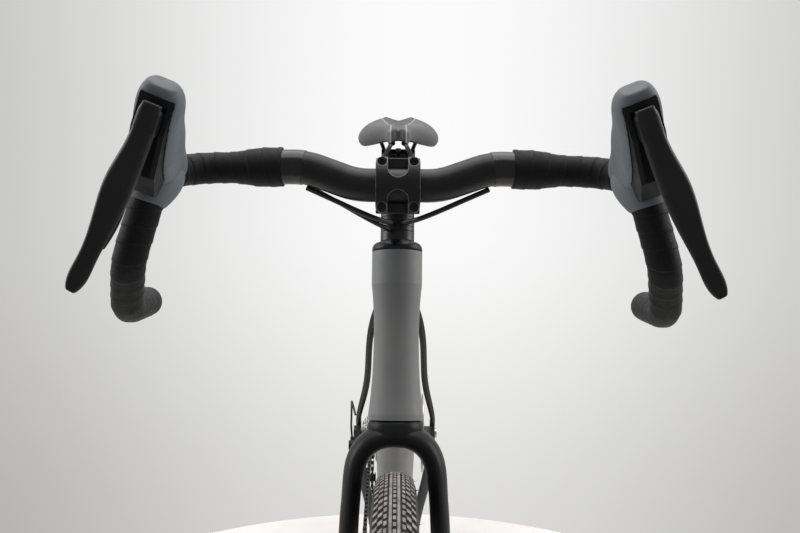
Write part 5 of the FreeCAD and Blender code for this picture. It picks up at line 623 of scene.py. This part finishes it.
# %% Make both tyres
def make_tyre(name, axle, body, node, seed):
    """Casing, ribs and blocks in one mesh, with dust on what touches the road."""
    section = casing_grid()
    casing = turned_profile(section, TYRE_STEPS, (0, 0, 0), "y")
    points = [casing.reshape(-1, 3)]
    faces = [grid_faces(TYRE_STEPS, len(section), wrap_rows=True, wrap_columns=True)]
    wear = [np.full(len(points[0]), 0.06)]
    total = len(points[0])
    for ring in rib_rings(TYRE_STEPS):
        points.append(ring.reshape(-1, 3))
        side = grid_faces(TYRE_STEPS, len(RIB_SIDES), wrap_rows=True, wrap_columns=True)
        one = signed_volume(points[-1], side)
        faces.append((side if one > 0 else side[:, ::-1]) + total)
        wear.append(np.tile([0.1, 1.0, 1.0, 0.1], TYRE_STEPS))
        total += len(points[-1])
    rows = tread_rows()
    first = np.arange(0, len(rows), 8)
    faces.append((BLOCK_FACES[None] + first[:, None, None]).reshape(-1, 4) + total)
    wear.append(np.tile([0.05] * 4 + [1.0] * 4, len(first)))
    points.append(rows)
    if signed_volume(points[0], faces[0]) < 0:
        faces[0] = faces[0][:, ::-1]
    everything = np.concatenate(points) + np.array(axle)
    tyre = make_piece(name, everything, faces, body, FINISHES["tyre"], smooth=False)
    tyre.data.polygons.foreach_set("use_smooth", np.arange(len(tyre.data.polygons)) < len(faces[0]))
    point_attribute(tyre.data, "wear", np.concatenate(wear))
    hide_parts(node)
    hair_points, hair_faces = vent_hairs(HAIR_COUNT, seed)
    make_piece(name + "_hairs", hair_points + np.array(axle), [hair_faces], body, FINISHES["hose"])


for end, seed in (("front", 3), ("rear", 4)):
    low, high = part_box(end + "_tyre")
    axle = [(low[k] + high[k]) / 2 for k in range(3)]
    make_tyre(end + "_tread", axle, end + "_wheel", end + "_tyre", seed)

# %% [markdown]
# ## Saddle
# The saddle is a foam pad under a thin cover: wide wings that fall away at the sides, a slim nose
# and a channel down the middle. Each cross-section is a closed smooth curve through a few points,
# and the points follow simple formulas along the length. Two pale lines part the wings from the middle.

# %% Saddle surface
SADDLE_LENGTH = 0.270
SADDLE_WIDTH = 0.146
SADDLE_NOSE = 0.036
PAD_SIDE = 0.013
SADDLE_FALL = 0.34
SADDLE_STATIONS = 150
SADDLE_AROUND = 128
SADDLE_ROUND = 0.004
SADDLE_CREST = 0.0104


def saddle_half_width(share):
    """Half the width from tail (0) to nose (1): a soft step from wings to nose, rounded at both ends."""
    swell = 1 / (1 + np.exp((share - 0.42) * 15))
    tail = np.sqrt(np.maximum(0, 1 - np.maximum(0, 0.2 - share) ** 2 / 0.2 ** 2 * 0.55))
    tip = np.sqrt(np.maximum(0.04, 1 - np.maximum(0, share - 0.93) ** 2 / 0.07 ** 2 * 0.9))
    return (SADDLE_NOSE / 2 + (SADDLE_WIDTH - SADDLE_NOSE) / 2 * swell) * tail * tip


def saddle_keys(share):
    """Key points of each cross-section, all stations at once: crown, wing, edge, tuck and hollow."""
    half = saddle_half_width(share)
    top = 0.009 * np.maximum(0, 0.35 - share) ** 1.5 / 0.2 - 0.003 * share + 0.0012
    fall = np.minimum(0.010 + SADDLE_FALL * np.maximum(0, half - SADDLE_NOSE / 2), half * 0.6)
    tuck = half * 0.82
    low = top - fall - PAD_SIDE
    hollow = np.minimum(top - PAD_SIDE - 0.002, low + tuck * 0.5)
    tail = np.exp(-(share / 0.28) ** 2)
    dip = 0.0024 + 0.0040 * tail
    channel = np.minimum(0.0065 + 0.010 * tail, half * 0.35)
    right = [(channel * 0.5, top - dip * 0.7), (channel * 1.3, top - 0.0005),
             (half * 0.55, top - fall * 0.07), (half * 0.80, top - fall * 0.32),
             (half * 0.965, top - fall * 0.80), (half * 0.965, low + PAD_SIDE * 0.42), (tuck, low + 0.0006),
             (tuck * 0.55, low + (hollow - low) * 0.70)]
    left = [(-y, z) for y, z in right[::-1]]
    ring = [(0 * half, top - dip)] + right + [(0 * half, hollow)] + left
    return np.stack([np.stack([y + 0 * half, z + 0 * half], axis=-1) for y, z in ring])


def saddle_grid(stations, around, place):
    """Sections along the length, with both ends rounded off by shrinking copies of the end section."""
    share = np.linspace(0, 1, stations)
    keys = saddle_keys(share)
    ring = smooth_through(keys, np.arange(around) / around, closed=True)
    points = np.empty((stations, around, 3))
    points[..., 0] = ((share - 0.5) * SADDLE_LENGTH)[:, None]
    points[..., 1:] = ring.transpose(1, 0, 2)
    turn = np.sin(np.linspace(0.25, 1.0, 5) * np.pi / 2)
    for end, way in ((0, -1), (-1, 1)):
        middle = points[end].mean(axis=0)
        size = np.sqrt(1 - (turn * 0.985) ** 2)
        extra = middle + (points[end] - middle)[None] * size[:, None, None]
        extra[..., 0] = points[end, :, 0] + way * SADDLE_ROUND * turn[:, None]
        points = np.concatenate([extra[::-1], points]) if way < 0 else np.concatenate([points, extra])
    return points + np.array(place)


pad_low, pad_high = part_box("saddle_pad")
saddle_place = ((pad_low[0] + pad_high[0]) / 2, 0.0, pad_high[2] - SADDLE_CREST)
saddle_points = saddle_grid(SADDLE_STATIONS, SADDLE_AROUND, saddle_place)
saddle = tube_piece("saddle_cover", saddle_points, "seat", FINISHES["saddle_cover"])
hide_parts("saddle_pad")


def saddle_seam(points, place):
    """How far a point lies outside the pale line, which starts wide at the tail and narrows to the nose."""
    along = np.clip((points[:, 0] - place[0]) / SADDLE_LENGTH + 0.5, 0, 1)
    line = 0.012 + 0.020 * np.clip((0.50 - along) / 0.5, 0, 1) ** 1.2
    return np.abs(points[:, 1]) - line


flat_points = np.empty(len(saddle.data.vertices) * 3)
saddle.data.vertices.foreach_get("co", flat_points)
seam_values = saddle_seam(flat_points.reshape(-1, 3), saddle_place)
point_attribute(saddle.data, "seam", seam_values)
print("saddle place", [round(value, 4) for value in saddle_place])

# %% [markdown]
# ## Wound bar tape
# Seen close, wound tape is a tube whose radius climbs along each turn and drops at the tape's edge.
# The edge runs round the bar as a screw line, so the radius depends on the distance along the bar
# less the share of a turn. The bar's own route is the same list of corners that the solid has.

# %% Route of the bar
def rounded_route(corners, bends, count):
    """Straight runs joined by round bends, then read off at equal steps along the length."""
    corners = np.asarray(corners, float)
    pieces = [corners[:1]]
    for number, bend in enumerate(bends):
        here, back, ahead = corners[number + 1], corners[number], corners[number + 2]
        into = (here - back) / np.linalg.norm(here - back)
        out = (ahead - here) / np.linalg.norm(ahead - here)
        turn = math.acos(np.clip(np.dot(into, out), -1, 1))
        cut = bend * math.tan(turn / 2)
        start = here - into * cut
        inward = out - into * np.dot(into, out)
        inward = inward / np.linalg.norm(inward)
        angle = np.linspace(0, turn, 24)[:, None]
        pieces.append(start + into * bend * np.sin(angle) + inward * bend * (1 - np.cos(angle)))
    route = np.concatenate(pieces + [corners[-1:]])
    step = np.concatenate([[0], np.cumsum(np.linalg.norm(np.diff(route, axis=0), axis=1))])
    at = np.linspace(0, step[-1], count)
    return np.stack([np.interp(at, step, route[:, axis]) for axis in range(3)], axis=1), at


BAR_CENTRE = np.array([0.34609, 0.0, 0.94906])
BAR_RISE = 0.0165
CORNER_LOW = 0.003
BAR_SWEEP = 0.010
BAR_HALF = 0.211
BAR_REACH = 0.084
BAR_DROP = 0.135
BAR_FLARE = math.radians(18)
bar_corner = BAR_CENTRE + (-BAR_SWEEP, BAR_HALF, BAR_RISE - CORNER_LOW)
drop_up = np.array([0.0, -math.sin(BAR_FLARE), math.cos(BAR_FLARE)])
drop_side = np.array([0.0, math.cos(BAR_FLARE), math.sin(BAR_FLARE)])
# Corners of the drop, forward of and below the bar's own corner
DROP_KEYS = [(BAR_REACH - 0.006, -0.004), (BAR_REACH + 0.002, -BAR_DROP * 0.58), (BAR_REACH * 0.5, -BAR_DROP),
             (-BAR_REACH * 0.42, -BAR_DROP - 0.012)]
bar_corners = [BAR_CENTRE, BAR_CENTRE + (0, 0.040, 0),
               BAR_CENTRE + (-BAR_SWEEP * 0.55, 0.088, BAR_RISE), bar_corner]
bar_corners += [bar_corner + np.array([x, 0, 0]) + drop_up * z for x, z in DROP_KEYS]
BAR_BENDS = (0.070, 0.070, 0.044, 0.030, 0.042, 0.046)
BAR_POINTS = 1400
bar_route, bar_distance = rounded_route(bar_corners, BAR_BENDS, BAR_POINTS)
print("half the bar is", round(bar_distance[-1], 4), "m long")

# %% Tape
CLAMP_RADIUS = 0.0159
GRIP_RADIUS = 0.0120
TAPER_START = 0.128
TAPER_LENGTH = 0.036
TAPE_THICKNESS = 0.0032
TAPE_STEP = 0.0006
TAPE_PITCH = 0.0155
TAPE_GROOVE = 0.00012


def bar_radius(distance):
    """The bare bar: thick at the clamp, then a smooth step down to the grips."""
    share = np.clip((distance - TAPER_START) / TAPER_LENGTH, 0, 1)
    return CLAMP_RADIUS + (GRIP_RADIUS - CLAMP_RADIUS) * share * share * (3 - 2 * share)


def wound_tube(start, end, reference, rows, around=72, wound=True, extra=0.0):
    """Rings square to the route whose radius is a saw-tooth along a screw line."""
    at = np.linspace(start, end, rows)
    centre = np.stack([np.interp(at, bar_distance, bar_route[:, axis]) for axis in range(3)], axis=1)
    along = np.gradient(centre, axis=0)
    along /= np.linalg.norm(along, axis=1)[:, None]
    wide = np.cross(along, reference)
    wide /= np.linalg.norm(wide, axis=1)[:, None]
    high = np.cross(wide, along)
    angle = np.linspace(0, 2 * np.pi, around, endpoint=False)[None, :]
    radius = bar_radius(at)[:, None] + extra + 0 * angle
    if wound:
        tooth = np.mod((at[:, None] - start) / TAPE_PITCH - angle / (2 * np.pi), 1.0)
        edge = np.clip((1 - tooth) / 0.05, 0, 1)
        radius = radius + TAPE_THICKNESS - TAPE_STEP + TAPE_STEP * (tooth ** 1.3) * edge
        radius = radius - TAPE_GROOVE * np.exp(-((tooth - 0.5) / 0.5) ** 2 * 9)
    ring = wide[:, None, :] * np.cos(angle)[..., None] + high[:, None, :] * np.sin(angle)[..., None]
    return centre[:, None, :] + ring * radius[..., None]


TAPE_START = 0.112
BAND_LENGTH = 0.020
BAND_LAP = 0.004
BAND_THICKNESS = 0.0007
HOOD_TOP_LIMIT = 0.250
HOOD_LOW_LIMIT = 0.275
UPRIGHT = np.array([0.0, 0.0, 1.0])
tape_runs = [("top", TAPE_START, HOOD_TOP_LIMIT, UPRIGHT, 420),
             ("drop", HOOD_LOW_LIMIT, bar_distance[-1] - 0.0008, drop_side, 640)]
for side_name, flip in (("left", 1.0), ("right", -1.0)):
    for run, start, end, reference, rows in tape_runs:
        tape = wound_tube(start, end, reference, rows) * (1.0, flip, 1.0)
        tape_name = "tape_" + run + "_" + side_name
        piece = tube_piece(tape_name, tape, "steering", FINISHES["bar_tape"])
        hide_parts("bar_tape")
    band = wound_tube(TAPE_START - BAND_LENGTH, TAPE_START + BAND_LAP, UPRIGHT, 60, wound=False,
                      extra=BAND_THICKNESS)
    tube_piece("tape_band_" + side_name, band * (1.0, flip, 1.0), "steering", FINISHES["band"])

# %% [markdown]
# ## Rubber hoods
# A hood is a moulded rubber boot over the lever's bracket, with no sharp edge anywhere.
# A copy of the solid is joined up, rebuilt from small voxels and relaxed, which rounds every edge
# as a mould would. The solid itself stays in the frame for collision.

# %% Hoods
def voxel_copy(node, name, voxel):
    """A closed copy of a node: its loose triangles are joined, then rebuilt from small voxels."""
    piece = bpy.data.objects.new(name, nodes[node].data.copy())
    scene.collection.objects.link(piece)
    piece.modifiers.new("weld", "WELD").merge_threshold = 0.00002
    remesh = piece.modifiers.new("remesh", "REMESH")
    remesh.mode = "VOXEL"
    remesh.voxel_size = voxel
    graph = bpy.context.evaluated_depsgraph_get()
    shape = bpy.data.meshes.new_from_object(piece.evaluated_get(graph))
    piece.modifiers.clear()
    piece.data = shape
    shape.name = name
    return piece


def relaxed(mesh, rounds):
    """Points moved half way to the mean of their neighbours, round by round."""
    points = np.empty(len(mesh.vertices) * 3)
    mesh.vertices.foreach_get("co", points)
    points = points.reshape(-1, 3)
    pairs = np.empty(len(mesh.edges) * 2, int)
    mesh.edges.foreach_get("vertices", pairs)
    ends = np.concatenate([pairs[0::2], pairs[1::2]])
    others = np.concatenate([pairs[1::2], pairs[0::2]])
    count = np.bincount(ends, minlength=len(points))[:, None]
    start = points
    for _ in range(rounds):
        sums = [np.bincount(ends, points[others, axis], len(points)) for axis in range(3)]
        points = 0.5 * points + 0.5 * np.stack(sums, axis=1) / count
    return start, points


def moulded_copy(node, name, body, slot, voxel, rounds, wear=0.0):
    """A relaxed voxel copy whose edge attribute, a painted highlight, grows with how far relaxing drew each
    point inwards.
    """
    piece = voxel_copy(node, name, voxel)
    shape = piece.data
    start, points = relaxed(shape, rounds)
    shape.vertices.foreach_set("co", points.ravel())
    shape.update()
    normals = np.empty(len(points) * 3)
    shape.vertex_normals.foreach_get("vector", normals)
    drawn = np.einsum("ij,ij->i", start - points, normals.reshape(-1, 3)) / voxel
    # Painted highlight: the paler edge colour is strongest where the rounds are tightest; wear sets how
    # strong it is.
    edge = np.clip((drawn - 0.05) / 0.20, 0, 1) * wear
    point_attribute(shape, "edge", edge)
    shape.materials.clear()
    shape.materials.append(FINISHES[slot])
    shape.polygons.foreach_set("use_smooth", np.ones(len(shape.polygons), bool))
    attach(piece, body)
    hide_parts(node)
    print(name, len(shape.polygons), "faces, worn", round(float(edge.mean()), 3))


HOOD_VOXEL = 0.0008
HOOD_ROUNDS = 12
for side_name in ("left", "right"):
    moulded_copy("hood_" + side_name, "hood_skin_" + side_name, "steering", "hood_rubber",
                 HOOD_VOXEL, HOOD_ROUNDS)

# %% [markdown]
# Under the boot the rubber swells into a collar that grips the bend of the bar and hides both ends
# of the tape. It is a tube along the bar's own route whose radius rises and falls like a sine.

# %% Collars of the hoods
COLLAR_START = 0.232
COLLAR_END = 0.284
COLLAR_SWELL = 0.0062
COLLAR_GAP = 0.0004
COLLAR_ROWS = 90
COLLAR_AROUND = 96


def collar_points():
    """Rings on the bar's route: the tape's radius plus a swell that is a power of a sine."""
    plain = wound_tube(COLLAR_START, COLLAR_END, drop_side, COLLAR_ROWS, COLLAR_AROUND, wound=False)
    at = np.linspace(COLLAR_START, COLLAR_END, COLLAR_ROWS)
    centre = np.stack([np.interp(at, bar_distance, bar_route[:, axis]) for axis in range(3)], axis=1)
    swell = COLLAR_SWELL * np.sin(np.pi * np.linspace(0, 1, COLLAR_ROWS)) ** 0.7
    radius = GRIP_RADIUS + TAPE_THICKNESS + COLLAR_GAP + swell
    ring = plain - centre[:, None, :]
    ring /= np.linalg.norm(ring, axis=2)[..., None]
    return centre[:, None, :] + ring * radius[:, None, None]


for side_name, flip in (("left", 1.0), ("right", -1.0)):
    tube_piece("hood_collar_" + side_name, collar_points() * (1.0, flip, 1.0), "steering",
               FINISHES["hood_rubber"])

# %% [markdown]
# ## Forged and moulded metal
# Cast and forged parts have no razor edges: a stem's faceplate has a small round along every edge,
# and that round is what catches a thin line of light. A bevel would trip over the many small faces
# of a solid's mesh, so these parts get the same relaxed voxel copy as the hoods, only finer.

# %% Stem, faceplate and levers
# The rounds of these parts are also painted paler in colour: a painted highlight, the thin line of light on
# each edge.
ROUNDED = [  # node, body, voxel in metres, relaxing rounds, strength of the painted edge highlight
    ("stem_faceplate", "steering", 0.0005, 3, 0.9),
    ("stem", "steering", 0.0008, 3, 0.2),
    ("brake_lever_left", "left_lever", 0.0007, 8, 0.04),
    ("brake_lever_right", "right_lever", 0.0007, 8, 0.04),
    ("shift_paddle_right", "right_paddle", 0.0006, 4, 0.04),
]
for node_name, body_name, voxel, rounds, wear in ROUNDED:
    moulded_copy(node_name, node_name + "_rounded", body_name, "satin_black", voxel, rounds, wear)

# %% [markdown]
# ## Headset cover
# The cover between the head tube and the spacers is a low black dome. Its section is a lip, then
# a quarter of an ellipse, then a small neck, and it is turned about the tilted steering axis.

# %% Headset cover
STEER_TOP = np.array([0.287584, 0.0, 0.874])
STEER_UP = np.array([-0.317305, 0.0, 0.948324])
STEER_AHEAD = np.array([0.948324, 0.0, 0.317305])
COVER_SIDES = 128


def cover_section(count):
    """Radius and height: up the lip, over a quarter ellipse, in along the neck and down the bore."""
    turn = np.linspace(0, np.pi / 2, count)
    dome = np.stack([0.0182 + 0.0077 * np.cos(turn) ** 0.9, 0.0028 + 0.0072 * np.sin(turn)], axis=1)
    start = [(0.01445, 0.0003), (0.0252, 0.0003), (0.0259, 0.0009), (0.0259, 0.0022)]
    end = [(0.0181, 0.0108), (0.0178, 0.0110), (0.01445, 0.0110)]
    return np.concatenate([start, dome, end])


section = cover_section(16)
turn = np.linspace(0, 2 * np.pi, COVER_SIDES, endpoint=False)[:, None, None]
outward = STEER_AHEAD * np.cos(turn) + np.array([0.0, 1.0, 0.0]) * np.sin(turn)
cover_points = STEER_TOP + outward * section[None, :, :1] + STEER_UP * section[None, :, 1:]
cover_faces = grid_faces(COVER_SIDES, len(section), wrap_rows=True, wrap_columns=True)
cover = make_piece("headset_dome", cover_points, [cover_faces], "steering",
                   FINISHES["satin_black"])
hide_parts("headset_cover")
